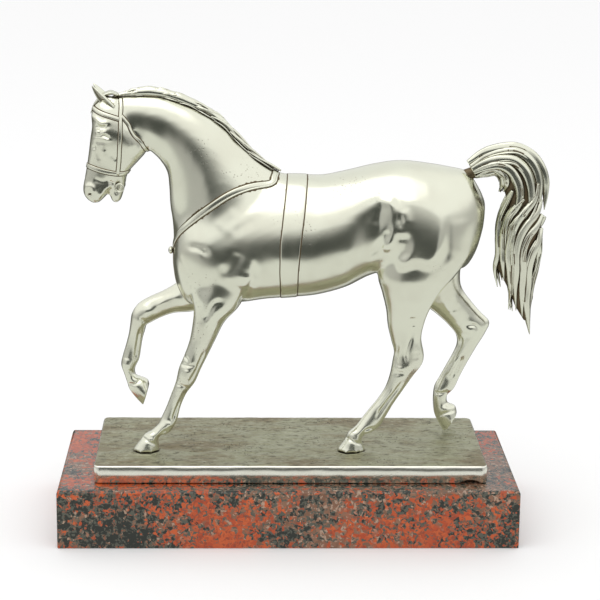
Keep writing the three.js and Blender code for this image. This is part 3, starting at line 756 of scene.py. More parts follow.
def granite_material():
    """Polished granite: red feldspar, brown and tan grains, grey-green and black ones in clusters."""
    own = settings()
    material = bpy.data.materials.new("red granite")
    material.use_nodes = True
    tree = material.node_tree
    shader = tree.nodes["Principled BSDF"]
    shader.inputs["Roughness"].default_value = 0.1
    shader.inputs["Specular IOR Level"].default_value = 0.4
    place = add_node(tree, "ShaderNodeTexCoord").outputs["Object"]
    stir = add_node(tree, "ShaderNodeTexNoise", {"Vector": place, "Scale": 420, "Detail": 3})
    moved = add_node(tree, "ShaderNodeVectorMath", {0: stir.outputs["Color"], 1: (0.0035, 0.0035, 0.0035)},
                     operation="MULTIPLY").outputs[0]
    spot = add_node(tree, "ShaderNodeVectorMath", {0: place, 1: moved}, operation="ADD").outputs[0]

    def grains(scale):
        cells = add_node(tree, "ShaderNodeTexVoronoi", {"Vector": spot, "Scale": scale}, feature="F1")
        return add_node(tree, "ShaderNodeSeparateColor", {"Color": cells.outputs["Color"]}).outputs

    coarse, fine = grains(420), grains(950)
    slant = add_node(tree, "ShaderNodeMapping", {"Vector": place, "Rotation": (0, 0.5, 0), "Scale": (0.6, 1, 1.2)}).outputs[0]
    zone = add_node(tree, "ShaderNodeTexNoise", {"Vector": slant, "Scale": 34, "Detail": 5, "Roughness": 0.62}).outputs["Fac"]
    field = add_node(tree, "ShaderNodeTexNoise", {"Vector": slant, "Scale": 19, "Detail": 2}).outputs["Fac"]
    red = add_mix(tree, coarse[0], own.red_grain, (0.52, 0.105, 0.03))
    red = add_mix(tree, add_range(tree, fine[1], 0.7, 0.74, 0.0, 0.7), red, (0.22, 0.05, 0.025))
    brown = add_mix(tree, coarse[1], (0.17, 0.085, 0.05), (0.30, 0.16, 0.10))
    brown = add_mix(tree, add_range(tree, fine[0], 0.8, 0.84, 0.0, 0.8), brown, (0.42, 0.30, 0.22))
    shade = add_math(tree, "ADD", field, add_math(tree, "MULTIPLY_ADD", coarse[2], 0.3, -0.15))
    base = add_mix(tree, add_range(tree, shade, 0.5, 0.56), red, brown)
    shift = add_math(tree, "ADD", add_math(tree, "MULTIPLY", zone, 1.6), add_math(tree, "MULTIPLY", coarse[1], 0.42))
    shift = add_math(tree, "ADD", shift, add_math(tree, "MULTIPLY", fine[2], 0.42))
    base = add_mix(tree, add_range(tree, shift, 1.26, 1.30), base, (0.085, 0.088, 0.068))
    base = add_mix(tree, add_range(tree, shift, 1.42, 1.45), base, own.dark_grain)
    tree.links.new(base, shader.inputs["Base Color"])
    return material


# Pieces

class STATUETTE_OT_casting(bpy.types.Operator):
    """Build the horse's body, head, ears and legs as one casting"""
    bl_idname = "statuette.casting"
    bl_label = "Horse casting"

    def execute(self, context):
        mesh = cast_body(settings().voxel / MM)
        body = bmesh.new()
        body.from_mesh(mesh)
        bpy.data.meshes.remove(mesh)
        tree = BVHTree.FromBMesh(body)
        parts = [body] + [ear_skin(side) for side in (NEAR, FAR)] + [eyeball(tree, side) for side in (NEAR, FAR)]
        finish_piece("horse_casting", gather(parts), silver_material(), ["horse"])
        return {"FINISHED"}


BODY_SKINS = [
    (TRUNK, 150, 72, {"square": 2.15, "muscled": True}),
    (NECK, 90, 48, {}),
    (HEAD, 90, 48, {"square": 2.3}),
    (JAW, 36, 32, {}),
    (NEAR_FORE, 110, 32, {}),
    (FAR_FORE, 110, 32, {}),
    (NEAR_HIND, 120, 32, {}),
    (FAR_HIND, 110, 32, {}),
]
EAR = {"base": (-86.6, 211.6), "tip": (-98, 224.3), "spread": 4.2, "width": 2.7, "depth": 2.0, "wall": 0.55}
EYE = {"place": (-94.4, 201.9), "radius": 1.75, "sunk": 1.15}


def ear_skin(side):
    """A cupped leaf that opens forwards, outwards and a little down."""
    base = np.array([EAR["base"][0], side * EAR["spread"], EAR["base"][1]])
    tip = np.array([EAR["tip"][0], side * (EAR["spread"] + 0.8), EAR["tip"][1]])
    ahead = unit(tip - base)
    opening = np.array([-0.55, side * 0.8, -0.5])
    opening = unit(opening - ahead * (opening @ ahead))
    wide = np.cross(ahead, opening)
    outer = np.radians(np.linspace(-118, 118, 15))
    inner = np.radians(np.linspace(104, -104, 11))
    rings = []
    for share in np.linspace(0, 1, 26):
        swell = np.interp(share, [0, 0.15, 0.35, 0.6, 0.8, 0.93, 1], [0.6, 0.9, 1.0, 0.84, 0.56, 0.28, 0.06])
        middle = base + (tip - base) * share + opening * (0.8 * math.sin(math.pi * share) - 0.4)
        width, depth, wall = EAR["width"] * swell, EAR["depth"] * swell, EAR["wall"] * min(1.0, 1.6 * swell)
        back = [middle + wide * width * math.sin(a) - opening * depth * math.cos(a) for a in outer]
        front = [middle + wide * (width - wall) * math.sin(a) - opening * (depth - wall) * math.cos(a) for a in inner]
        rings.append(back + front)
    return skin_rings(rings, shades=[0.0] * 15 + [0.35] * 11)


def eyeball(tree, side):
    x, z = EYE["place"]
    hit = tree.ray_cast(Vector((x, 40 * side, z)), Vector((0, -side, 0)))[0]
    ball = bmesh.new()
    bmesh.ops.create_uvsphere(ball, u_segments=24, v_segments=14, radius=EYE["radius"])
    bmesh.ops.scale(ball, vec=(1.1, 0.9, 0.85), verts=ball.verts)
    bmesh.ops.translate(ball, vec=(x, hit.y - side * EYE["sunk"], z), verts=ball.verts)
    return ball


def voxel_mesh(bm, size):
    """The outer skin of overlapping closed bodies as one even mesh."""
    mesh = bpy.data.meshes.new("joined")
    bm.to_mesh(mesh)
    bm.free()
    holder = bpy.data.objects.new("joined", mesh)
    bpy.context.scene.collection.objects.link(holder)
    remesh = holder.modifiers.new("join", "REMESH")
    remesh.mode = "VOXEL"
    remesh.voxel_size = size
    remesh.use_smooth_shade = True
    tree = bpy.context.evaluated_depsgraph_get()
    joined = bpy.data.meshes.new_from_object(holder.evaluated_get(tree))
    bpy.data.objects.remove(holder)
    bpy.data.meshes.remove(mesh)
    return joined


def finer(mesh, low, high, cuts=1):
    """Subdivide the part of a mesh inside a box."""
    bm = bmesh.new()
    bm.from_mesh(mesh)
    low, high = Vector(low), Vector(high)
    inside = [v for v in bm.verts if all(low[k] < v.co[k] < high[k] for k in range(3))]
    chosen = set(inside)
    edges = [e for e in bm.edges if e.verts[0] in chosen and e.verts[1] in chosen]
    bmesh.ops.subdivide_edges(bm, edges=edges, cuts=cuts, use_grid_fill=True)
    bm.to_mesh(mesh)
    bm.free()
    return mesh


# Where the bodies flow into each other: line in x, z and reach
MELTED = [
    ([(46, 151), (60, 147), (72, 147), (86, 151)], 10),
    ([(-46, 133), (-32, 136), (-20, 133)], 8),
    ([(-3, 184), (-20, 173), (-40, 158), (-57, 146)], 8),
    ([(-80, 212), (-76, 205), (-73, 197)], 3.5),
]
# Flank surfaces: outline; softness; place; half width there; slopes; bends; twist
SHEETS = [
    ([(57, 168), (64, 168), (72, 164.5), (77.5, 158), (78, 148), (76.5, 139), (72, 133.5), (64, 134), (57, 132),
      (56, 136), (60, 141), (62, 147), (60, 152), (57, 158)], 3.2, (66, 150), 27.0, (0, -0.11), (0.006, 0.0047), -0.0045),
    ([(47, 167), (50.5, 168), (54, 163), (54.5, 155), (53, 148), (51, 143), (48, 142), (46.5, 148), (45, 154),
      (44.5, 160)], 2.2, (50, 155), 25.1, (0.27, -0.07), (0, 0.002), 0.0),
]
# Carved forms: line in x, z; reach; height; side
SOFT_FORMS = [
    ([(47.5, 166), (44.5, 160), (42, 154)], 3.4, -0.5, BOTH),
    ([(53, 144)], 7, 0.6, BOTH),
    ([(86, 158), (87, 148), (84, 138)], 6, 0.4, BOTH),
    ([(-14, 163), (-24, 156), (-34, 149)], 3.2, 0.28, BOTH),
    ([(-18, 157), (-29, 150)], 2.8, -0.22, BOTH),
    ([(-26, 161), (-37, 152)], 3.0, 0.25, BOTH),
    ([(-36, 128), (-30, 130.5), (-25, 140)], 4, -0.75, BOTH),
    ([(-20, 128), (-22, 121)], 5, 0.6, BOTH),
    ([(-43, 121)], 4, -0.6, BOTH),
]
CREASES = [
    ([(57, 162), (59, 158), (60, 154)], 2.2, 0.5, BOTH),
    ([(56.5, 151)], 3.4, 0.75, BOTH),
    ([(55, 160), (55.5, 156)], 1.5, -0.35, BOTH),
    ([(55, 147), (59.5, 147.5)], 1.6, -0.35, BOTH),
    ([(50, 152), (48, 146.5), (44, 141), (40.5, 138)], 1.7, -1.0, BOTH),
    ([(-50.5, 142.8), (-45, 141.5), (-41, 138.5)], 1.7, -0.6, BOTH),
    ([(-18, 134), (-17.5, 127), (-20, 121.5), (-23, 116), (-26, 111)], 1.6, -0.9, BOTH),
    ([(-57, 138), (-53.5, 130), (-49.5, 123.5)], 1.4, -0.5, BOTH),
    ([(80, 157), (80.5, 145), (79.5, 133)], 1.7, -0.3, BOTH),
]
HEAD_FORMS = [
    ([(-98.3, 209.5), (-96, 207), (-93.5, 205.2), (-90.5, 205.6)], 1.2, 0.75, BOTH),
    ([(-96.8, 204.2), (-94.2, 203.2), (-91, 203.6)], 1.2, -1.0, BOTH),
    ([(-96.8, 200.4), (-94.5, 199.7), (-92, 200.6)], 0.8, 0.45, BOTH),
    ([(-94, 199.6), (-92, 198.9), (-90, 197.6)], 0.8, -0.6, BOTH),
    ([(-97.8, 197.8), (-94, 197.4), (-89.5, 196.6)], 0.8, 0.4, BOTH),
    ([(-96.5, 195.9), (-92, 195.4)], 0.8, -0.25, BOTH),
    ([(-97.5, 193)], 0.8, -0.7, BOTH),
    ([(-93, 192), (-92.2, 187.5)], 1.0, 0.35, BOTH),
    ([(-95.5, 191), (-95, 186.5)], 1.0, -0.25, BOTH),
    ([(-89.5, 190), (-86, 186.5)], 1.2, -0.3, BOTH),
    ([(-100.6, 169.5), (-100.2, 168.6)], 1.15, -2.0, BOTH),
    ([(-102.3, 172.2), (-100.2, 173.6), (-98.2, 172.3), (-98, 169.6)], 1.2, 0.55, BOTH),
    ([(-98, 177), (-93.5, 175.5), (-90, 176.8)], 1.2, -0.3, BOTH),
    ([(-96.8, 169), (-96.2, 166.5)], 0.8, -0.4, BOTH),
    ([(-95, 168.3), (-92.3, 172.2), (-89.5, 173.6)], 1.0, 0.4, BOTH),
    ([(-90, 176), (-88, 174.6)], 0.9, -0.8, BOTH),
    ([(-87.5, 170), (-85, 170.6)], 0.9, -0.4, BOTH),
    ([(-81.6, 203.5), (-78.8, 199.5), (-77, 193)], 1.2, 0.25, BOTH),
]
# Forms of each leg, as they show on the upright plane through it
LEG_FORMS = [
    (-14, [
        ([(-33.5, 117.4), (-37, 116.6), (-40, 112), (-43, 107.5)], 1.5, -0.55, BOTH),
        ([(-42.5, 92), (-44.7, 86.5), (-47, 81), (-50.5, 75)], 0.9, -0.6, BOTH),
        ([(-54.5, 85.2), (-50, 84.2), (-46.6, 84.6)], 0.9, -0.4, BOTH),
        ([(-51, 82), (-52.2, 77)], 1.8, 0.45, BOTH),
        ([(-56.6, 75), (-53, 73.2), (-50.5, 72.5)], 0.9, -0.45, BOTH),
        ([(-53, 89.5), (-51.3, 88), (-50.4, 85)], 0.7, -0.3, BOTH),
        ([(-51.6, 71.5), (-54.6, 65.5), (-57, 60), (-58.7, 54.5)], 0.85, -0.95, BOTH),
        ([(-59.5, 54), (-61, 52.4)], 1.6, 0.4, BOTH),
        ([(-60.5, 50.2), (-64, 48.7), (-66.2, 46)], 0.9, -0.6, BOTH),
        ([(-71.5, 48.6), (-69.2, 47.2)], 1.6, 0.35, BOTH),
        ([(-74.4, 46.6), (-71.4, 44.4), (-67.6, 42.4)], 0.7, -0.5, BOTH),
        ([(62, 110), (62.3, 104.5)], 2.1, -0.6, BOTH),
        ([(62.4, 105), (61.6, 99), (60.2, 94.5), (59.3, 90), (59.8, 85.6)], 1.0, -0.95, BOTH),
        ([(55.3, 96), (54.6, 90), (54.6, 84)], 0.9, -0.35, BOTH),
        ([(54.8, 83.2), (58.4, 82.8)], 1.2, 0.4, BOTH),
        ([(54, 80.2), (59, 80.4)], 0.9, -0.35, BOTH),
        ([(64.5, 92), (65, 87.5)], 1.4, -0.25, BOTH),
        ([(57.6, 76), (54.5, 71), (50.8, 66), (47.4, 61), (45.4, 57)], 0.9, -0.9, BOTH),
        ([(52.5, 71), (49, 66), (45, 61)], 0.8, 0.35, BOTH),
        ([(43.6, 51.4), (39.8, 50.2), (37.4, 47.2)], 0.9, -0.6, BOTH),
        ([(33.5, 50), (31.6, 47)], 1.6, 0.35, BOTH),
        ([(29.2, 46.8), (33, 44.4), (37.2, 42.6)], 0.7, -0.45, BOTH),
    ]),
    (14, [
        ([(-56, 113.5), (-62, 111.6), (-68, 108)], 1.3, 0.4, BOTH),
        ([(-72, 105.5)], 2.6, 0.5, BOTH),
        ([(-76, 101.4), (-73.6, 99.8), (-70.5, 100.4)], 1.0, -0.6, BOTH),
        ([(-76.2, 96), (-77.3, 90), (-78.3, 84), (-78.8, 78.5)], 0.85, -0.95, BOTH),
        ([(-83, 80), (-84, 76)], 1.6, 0.35, BOTH),
        ([(-82.5, 74), (-80, 72.2), (-78.4, 71.6)], 0.8, -0.4, BOTH),
        ([(-83, 66.4), (-79.4, 66.2), (-76, 69)], 0.7, -0.5, BOTH),
        ([(77, 119), (80.5, 112), (85, 104)], 1.6, 0.45, BOTH),
        ([(83, 112), (86.5, 105)], 2.2, -0.5, BOTH),
        ([(93, 98.4), (97.5, 98), (99.4, 94.5), (98.2, 89.5)], 0.9, -0.6, BOTH),
        ([(94.5, 95.5)], 2.2, 0.45, BOTH),
        ([(91.2, 81), (88.6, 75), (86.4, 70)], 0.8, -0.7, BOTH),
        ([(88.2, 81), (85.6, 75), (84, 70.5)], 0.9, 0.3, BOTH),
        ([(77.6, 62), (81, 61.6), (84.4, 62.4)], 0.8, -0.4, BOTH),
        ([(83.2, 53.4)], 1.6, 0.35, BOTH),
        ([(79, 48.8), (83, 50.6), (88, 52.2)], 0.7, -0.5, BOTH),
    ]),
]
FACE_BOX = ((-106, -20, 160), (-74, 20, 222))
EYE_BOX = ((-100, -20, 196), (-88, 20, 208))
LEG_BOX = ((-100, -30, 38), (110, 30, 112))


def cast_body(voxel):
    """The horse's bodies joined, evened out, melted into each other and carved."""
    parts = []
    for stations, rings, around, options in BODY_SKINS:
        shares = np.linspace(0, 1, rings)
        parts.append(skin_rings(body_points(stations, shares, round_angles(around), **options)))
    whole = gather(parts)
    skins = BVHTree.FromBMesh(whole)
    mesh = voxel_mesh(whole, voxel)
    for box in (LEG_BOX, FACE_BOX, EYE_BOX):
        mesh = finer(mesh, *box)
    edges = mesh_edges(mesh)
    points = relax(mesh_points(mesh), edges, 0.5, 12)
    low = np.flatnonzero(points[:, 2] < 112)
    close = lay_on(skins, points[low])[0]
    points[low] += gate(points[low, 2], 112, 104)[:, None] * (close - points[low])
    flat = seen_plane(points, 0)
    soft = np.zeros(len(points))
    for line, reach in MELTED:
        soft = np.maximum(soft, np.exp(-(line_distance(flat, smooth_line(line))[0] / reach) ** 2))
    points = relax(points, edges, 0.62 * soft[:, None], 60, keep=False)

    def normals():
        mesh.vertices.foreach_set("co", points.ravel())
        mesh.update()
        return mesh_normals(mesh)

    points = relax(settle(points, normals(), SHEETS), edges, 0.5, 8)
    points = relax(carve(points, normals(), SOFT_FORMS), edges, 0.5, 6)
    points = relax(carve(points, normals(), CREASES), edges, 0.5, 2)
    points = carve(points, normals(), HEAD_FORMS)
    for plane, strokes in LEG_FORMS:
        points = carve(points, normals(), strokes, plane, 10)
    normals()
    return mesh


# Girth band: seen from the side, the x of its front and rear edges at heights z
GIRTH_EDGES = [[117, -4, 3.9], [135, -4.9, 3.9], [150, -4.7, 5.1], [165, -3, 7], [180.5, -1, 8.7]]
# Strap sections: place across from -1 to 1, height, and dirt
GIRTH_PROFILE = [(-1.1, 0.2, 0.4), (-1.05, 0.16, 0.8), (-1, 0.2, 0.6), (-0.95, 0.8, 0.1), (-0.88, 1.0, 0),
                 (-0.5, 1.0, 0), (0, 1.0, 0), (0.5, 1.0, 0), (0.88, 1.0, 0), (0.95, 0.8, 0.1), (1, 0.2, 0.8),
                 (1.05, 0.16, 1.0), (1.1, 0.2, 0.5)]
PIPED_PROFILE = [(-1.35, 0.1, 0.9), (-1.1, 0.1, 1), (-1, 0.5, 0.4), (-0.9, 0.95, 0), (-0.75, 1.0, 0), (-0.6, 0.9, 0),
                 (-0.5, 0.62, 0.5), (-0.4, 0.75, 0.1), (0, 0.85, 0), (0.5, 0.85, 0), (0.8, 0.8, 0), (0.95, 0.6, 0.2),
                 (1.05, 0.1, 1), (1.4, 0.1, 0.9)]
FLAT_PROFILE = [(-1.5, 0.1, 0.8), (-1.15, 0.1, 0.9), (-0.95, 0.7, 0.3), (-0.65, 1.0, 0), (0, 0.85, 0.2),
                (0.65, 1.0, 0), (0.95, 0.7, 0.3), (1.15, 0.1, 0.9), (1.5, 0.1, 0.8)]

BREAST_STRAP_LINE = [
    [-6, 0, 184], [-6.5, 8, 183.4], [-8.5, 14.5, 181.8], [-19, 18.6, 177.9], [-30, 18, 172.8], [-40, 16.5, 166],
    [-48, 14.5, 159.8], [-54, 11.5, 153.6], [-58, 6.5, 147.2], [-59.6, 0, 143],
]
MARTINGALE_LINE = [
    [-60.5, 0, 142], [-59.6, 0, 134], [-57, 0, 126], [-52.5, 0, 118], [-47, 0, 112.5], [-38, 0, 111.5],
    [-24, 0, 113], [-10, 0, 116], [-1, 0, 117.6],
]


def scaled_profile(profile, height):
    return [(place, rise * height, dirt) for place, rise, dirt in profile]


def girth_band(tree, relief):
    """The band right round the body, nearly flush, with a fine groove at each edge."""
    heights, fronts, rears = np.array(GIRTH_EDGES).T
    pieces = 220
    rings = []
    angles = round_angles(pieces)
    columns = []
    for place, height, _ in scaled_profile(GIRTH_PROFILE, relief):
        column, outs = [], []
        for angle in angles:
            z = 149.0
            for _ in range(3):
                x = np.interp(z, heights, (fronts + rears) / 2 + place * (rears - fronts) / 2)
                start = Vector((x, 60 * math.sin(angle), 149 + 60 * math.cos(angle)))
                way = Vector((0, -math.sin(angle), -math.cos(angle)))
                hit, normal, _, _ = tree.ray_cast(start, way)
                z = hit.z
            column.append(tuple(hit))
            outs.append(tuple(normal))
        column = blur_rows(np.array(column), 2, True)
        outs = unit(blur_rows(np.array(outs), 2, True))
        columns.append((column, outs, height))
    for column, outs, height in columns:
        rings.append(column + outs * height)
    for index in (-1, len(columns) // 2, 0):
        column, outs, _ = columns[index]
        rings.append(column - outs * 0.6)
    return skin_rings(np.stack(rings, axis=1), True, [dirt for _, _, dirt in GIRTH_PROFILE] + [1.0] * 3)


class STATUETTE_OT_harness(bpy.types.Operator):
    """Build the girth, the breast strap, the strap between the forelegs and the stud"""
    bl_idname = "statuette.harness"
    bl_label = "Harness"

    def execute(self, context):
        own = settings()
        tree = surface_tree("horse_casting")
        width = own.strap_width / MM
        parts = [girth_band(tree, own.girth_relief / MM)]
        piping = scaled_profile(PIPED_PROFILE, 0.7)
        loop = BREAST_STRAP_LINE + [[x, -y, z] for x, y, z in BREAST_STRAP_LINE[-2:0:-1]]
        parts.append(lay_strap(tree, loop, [width], piping, 300, True))
        parts.append(lay_strap(tree, MARTINGALE_LINE, [2.4], scaled_profile(PIPED_PROFILE, 0.6), 120))
        stud = bmesh.new()
        bmesh.ops.create_uvsphere(stud, u_segments=20, v_segments=12, radius=1.9)
        bmesh.ops.scale(stud, vec=(0.7, 1, 1), verts=stud.verts)
        bmesh.ops.translate(stud, vec=(-59.6, 0, 141), verts=stud.verts)
        parts.append(stud)
        finish_piece("harness_straps", gather(parts), silver_material())
        return {"FINISHED"}


CHEEKPIECE = [[-84, 3, 219.5], [-83.4, 6.4, 214], [-83.6, 8, 208], [-84, 8.6, 200], [-84.4, 8.2, 193],
              [-84.8, 6.8, 187], [-85.6, 5.2, 180]]
BROWBAND = [[-84.2, 8.5, 208.8], [-89, 8, 210], [-93, 7, 211.2], [-97, 4.5, 213], [-98.6, 0, 213.8]]
THROATLATCH = [[-83, 7.8, 210.6], [-80, 8, 206.5], [-76.4, 8, 201], [-73, 6.5, 195.4], [-71, 4, 192], [-70.6, 0, 191]]
NOSEBAND = [[-100.9, 0, 184.2], [-99.5, 4, 184], [-95, 5.8, 182.6], [-90, 6, 181.4], [-84.5, 5.4, 180.4],
            [-79.5, 3, 180.2], [-79, 0, 180.2]]


def mirrored(line):
    """A line from the far side round the middle to the near side."""
    return line + [[x, -y, z] for x, y, z in line[-2::-1]]


class STATUETTE_OT_bridle(bpy.types.Operator):
    """Build the bridle's straps and the bit rings"""
    bl_idname = "statuette.bridle"
    bl_label = "Bridle"

    def execute(self, context):
        tree = surface_tree("horse_casting")
        width = settings().bridle_width / MM
        parts = []
        for line, share in ((CHEEKPIECE, 0.95), (BROWBAND, 1.15), (THROATLATCH, 0.9)):
            for side in (1, -1):
                path = [[x, side * y, z] for x, y, z in line]
                parts.append(lay_strap(tree, path, [width * share], scaled_profile(FLAT_PROFILE, 0.5), 44, blur=1))
        ring_line = NOSEBAND + [[x, -y, z] for x, y, z in NOSEBAND[-2:0:-1]]
        parts.append(lay_strap(tree, ring_line, [width * 1.25], scaled_profile(PIPED_PROFILE, 0.5), 120, True, blur=1))
        for side in (1, -1):
            ring = bmesh.new()
            bmesh.ops.create_circle(ring, segments=12, radius=0.5, matrix=Matrix.Translation((2.0, 0, 0)))
            bmesh.ops.spin(ring, geom=ring.verts[:] + ring.edges[:], cent=(0, 0, 0), axis=(0, 1, 0),
                           angle=2 * math.pi, steps=28, use_merge=True)
            bmesh.ops.rotate(ring, verts=ring.verts, cent=(0, 0, 0), matrix=Matrix.Rotation(0.2 * side, 3, "Z"))
            bmesh.ops.translate(ring, vec=(-84.8, side * 5.0, 173.6), verts=ring.verts)
            bmesh.ops.recalc_face_normals(ring, faces=ring.faces)
            parts.append(ring)
        finish_piece("bridle_straps", gather(parts), silver_material())
        return {"FINISHED"}


# Near locks of the tail: their line x, z from root to tip, and half width
TAIL_LOCKS = [
    ([(90.5, 184.2), (97, 188), (105, 191), (113, 191.6), (120, 188), (124.6, 181), (126, 172), (125.5, 163)], 2.6),
    ([(91.5, 182.6), (98.5, 186), (106, 187.8), (113, 187), (118.6, 182), (121.5, 174), (121.5, 166), (119, 158)], 2.7),
    ([(92.5, 181), (99, 184), (105, 185.2), (110.5, 183), (114.6, 177), (116, 170), (114.6, 163), (111, 157)], 2.5),
    ([(93, 179.4), (98.5, 181.6), (103.5, 182.3), (107.6, 180), (109, 175.5), (107.8, 171.6)], 2.1),
    ([(100, 183), (104, 182.4), (106.6, 179.4), (107, 175), (105.6, 171.6)], 1.6),
    ([(112.5, 172), (109.5, 166), (107, 160), (105.8, 153), (106, 146), (106.2, 139), (105, 132), (106.4, 122.4)], 1.9),
    ([(118, 168), (113, 162.5), (110, 157), (108.6, 150), (108.6, 142), (109, 134), (109.4, 125.6)], 2.0),
    ([(124.5, 176), (123, 168), (118.6, 161.5), (114.5, 155), (112.4, 147), (111.6, 139), (112.4, 130), (112.8, 120),
      (112, 110.6)], 2.1),
    ([(126.6, 168), (124.6, 161), (120.5, 155), (117, 148), (115.4, 140), (115.6, 131), (115.2, 122), (116, 110)], 2.1),
    ([(127.4, 160), (125, 154), (121, 148), (118.6, 140.5), (119, 132), (118.6, 123), (119, 114), (119.6, 106.6)], 2.2),
    ([(127.6, 153), (126.4, 146), (123.6, 139.5), (121.6, 132), (121.4, 124), (121.2, 115), (122.4, 107), (124, 97.6)], 2.3),
    ([(127, 148), (126.4, 140), (125, 132), (123.6, 124), (123.2, 116), (123.6, 109)], 1.8),
    ([(121, 163), (115.6, 158), (111.6, 152.6), (110.4, 146)], 1.5),
    ([(114, 152), (113, 144), (113.8, 136), (114, 127), (113.8, 118)], 1.5),
]
FAR_TAIL_SHIFT = [2.5, -1.5, 1.5, -1, 0.5, 1.5, -1, 1, -1.5, 1, -0.5, -1, 1.5, -1]


def tail_skin(places):
    """How far out the tail's skin lies at places x, z."""
    table = np.asarray(TAIL, float)
    shares = np.linspace(0, 1, 240)
    front, back = smooth_curve(table[:, 0:2], shares), smooth_curve(table[:, 2:4], shares)
    half = smooth_curve(table[:, 4:7], shares)[:, 0]
    centre, depth = (front + back) / 2, np.linalg.norm(front - back, axis=1) / 2
    towards = unit(front - back)
    out = []
    for place in np.asarray(places, float):
        off = place - centre
        along = (off * towards).sum(1)
        beside = np.linalg.norm(off - along[:, None] * towards, axis=1)
        best = np.argmin(beside + 3 * np.maximum(0, np.abs(along) - depth))
        share = min(1.0, abs(along[best]) / depth[best])
        out.append(half[best] * math.sqrt(1 - share ** 2))
    return np.array(out)


def tail_strand(line, side, lift, half, thick, shift=0.0, phase=0.0, grooves=5, groove=0.16):
    """A lock of the tail over a line x, z as it shows from the side."""
    flat = smooth_curve(line, np.linspace(0, 1, 4 * len(line)))
    steps = np.linspace(0, 1, len(flat))
    swing = unit(np.gradient(flat, axis=0))
    flat = flat + np.stack([-swing[:, 1], swing[:, 0]], axis=1) * (shift + 0.3 * np.sin(7 * steps + phase))[:, None]
    out = blur_rows(tail_skin(flat)[:, None], 3, False)[:, 0] + lift
    scale = (-out - CAMERA["place"][1]) / -CAMERA["place"][1]
    x = CAMERA["place"][0] + (flat[:, 0] - CAMERA["place"][0]) * scale
    z = CAMERA["place"][2] + (flat[:, 1] - CAMERA["place"][2]) * scale
    path = np.stack([x, side * out, z], axis=1)
    middle_x = np.interp(steps, [0, 0.3, 1], [x[0], 114.0, x[-1]])
    outward = unit(np.stack([0.25 * (x - middle_x) / 6, side * np.ones(len(x)), 0 * x], axis=1))
    across = [0.45 * half, half, 1.1 * half, half, 0.75 * half, 0.16]
    proud = [0.5 * thick, thick, thick, thick, 0.8 * thick, 0.16]
    return skin_rings(lock_rings(path, outward, across, proud, 14 * len(line), 14, grooves, groove, 3.0))


class STATUETTE_OT_tail(bpy.types.Operator):
    """Build the tail from its core, its main locks and the thin strands over them"""
    bl_idname = "statuette.tail"
    bl_label = "Tail locks"

    def execute(self, context):
        rng = random.Random(7)
        core = body_points(TAIL, np.linspace(0, 0.9, 110), round_angles(36), grow=-1.3)
        parts = [skin_rings(core, shades=[0.5] * 36)]
        for i, (line, half) in enumerate(TAIL_LOCKS):
            lift = 0.15 * (i % 3) - 0.9
            parts.append(tail_strand(line, NEAR, lift, half, 1.35, phase=i))
            parts.append(tail_strand(line, FAR, lift, 1.1 * half, 1.3, FAR_TAIL_SHIFT[i], 2 * i + 1))
        for i in range(settings().tail_locks):
            line, half = TAIL_LOCKS[i % len(TAIL_LOCKS)]
            side = NEAR if i % 3 else FAR
            start = rng.randrange(0, max(1, len(line) - 5))
            piece = line[start:start + rng.choice((4, 5))]
            parts.append(tail_strand(piece, side, rng.uniform(-0.1, 0.35), rng.uniform(0.4, 0.7), 0.55,
                                     rng.uniform(-0.8, 0.8) * half, i, 3, 0.1))
        finish_piece("tail_hair", gather(parts), silver_material())
        return {"FINISHED"}


# Mane: height over the neck at shares of its length
MANE_HEIGHT = ([0.0, 0.06, 0.14, 0.22, 0.33, 0.45, 0.56, 0.67, 0.78, 0.89, 1.0],
               [0.6, 2.2, 4.2, 5.0, 5.2, 4.9, 4.6, 3.9, 3.2, 2.1, 1.2])


def neck_places(shares, turns, lifts):
    """Places over the neck's skin and the way out there."""
    path = np.array([body_points(NECK, s, [a], grow=g)[0, 0] for s, a, g in zip(shares, turns, lifts)])
    outer = np.array([body_points(NECK, s, [a], grow=g + 1)[0, 0] for s, a, g in zip(shares, turns, lifts)])
    return path, unit(outer - path)


def mane_core():
    """The smooth roll of hair that lies along the crest."""
    shares = np.linspace(0.015, 0.985, 120)
    height = np.interp(shares, *MANE_HEIGHT) - 0.7
    wave = 0.35 * np.sin(31 * shares) + 0.2 * np.sin(73 * shares + 1)
    ridge, _ = neck_places(shares, 0 * shares, 0 * shares)
    above, up = neck_places(shares, 0 * shares, 0 * shares + 1)
    rings = []
    for centre, way, tall, sway in zip(ridge, up, height, wave):
        tall = max(0.5, tall + 0.6 * sway)
        wide = 1.2 + 0.34 * tall
        angles = round_angles(28)
        out = centre + way * (tall * 0.42)
        rings.append([out + np.array([0, 1, 0]) * (0.5 + wide * math.sin(a)) + way * (0.62 * tall * math.cos(a))
                      for a in angles])
    return skin_rings(rings)


def mane_lock(root, length, turn, fall, low, high, half, thick, phase):
    """A lock from the root line towards the withers, turning over the crest by its fall."""
    steps = np.linspace(0, 1, 7)
    shares = np.clip(root + length * steps, 0, 0.995)
    turns = turn + fall * steps ** 1.3 + 0.02 * np.sin(5 * steps + phase)
    tall = np.interp(shares, *MANE_HEIGHT)
    lifts = tall * np.interp(steps, [0, 0.3, 0.6, 1], [low, high, high, low]) + 0.12 * np.sin(6 * steps + phase)
    path, outward = neck_places(shares, turns, lifts)
    across = [0.35 * half, half, half, 0.8 * half, 0.14]
    proud = [0.4 * thick, thick, thick, 0.8 * thick, 0.14]
    return skin_rings(lock_rings(path, outward, across, proud, 46, 12, 4, 0.14, 3.0))


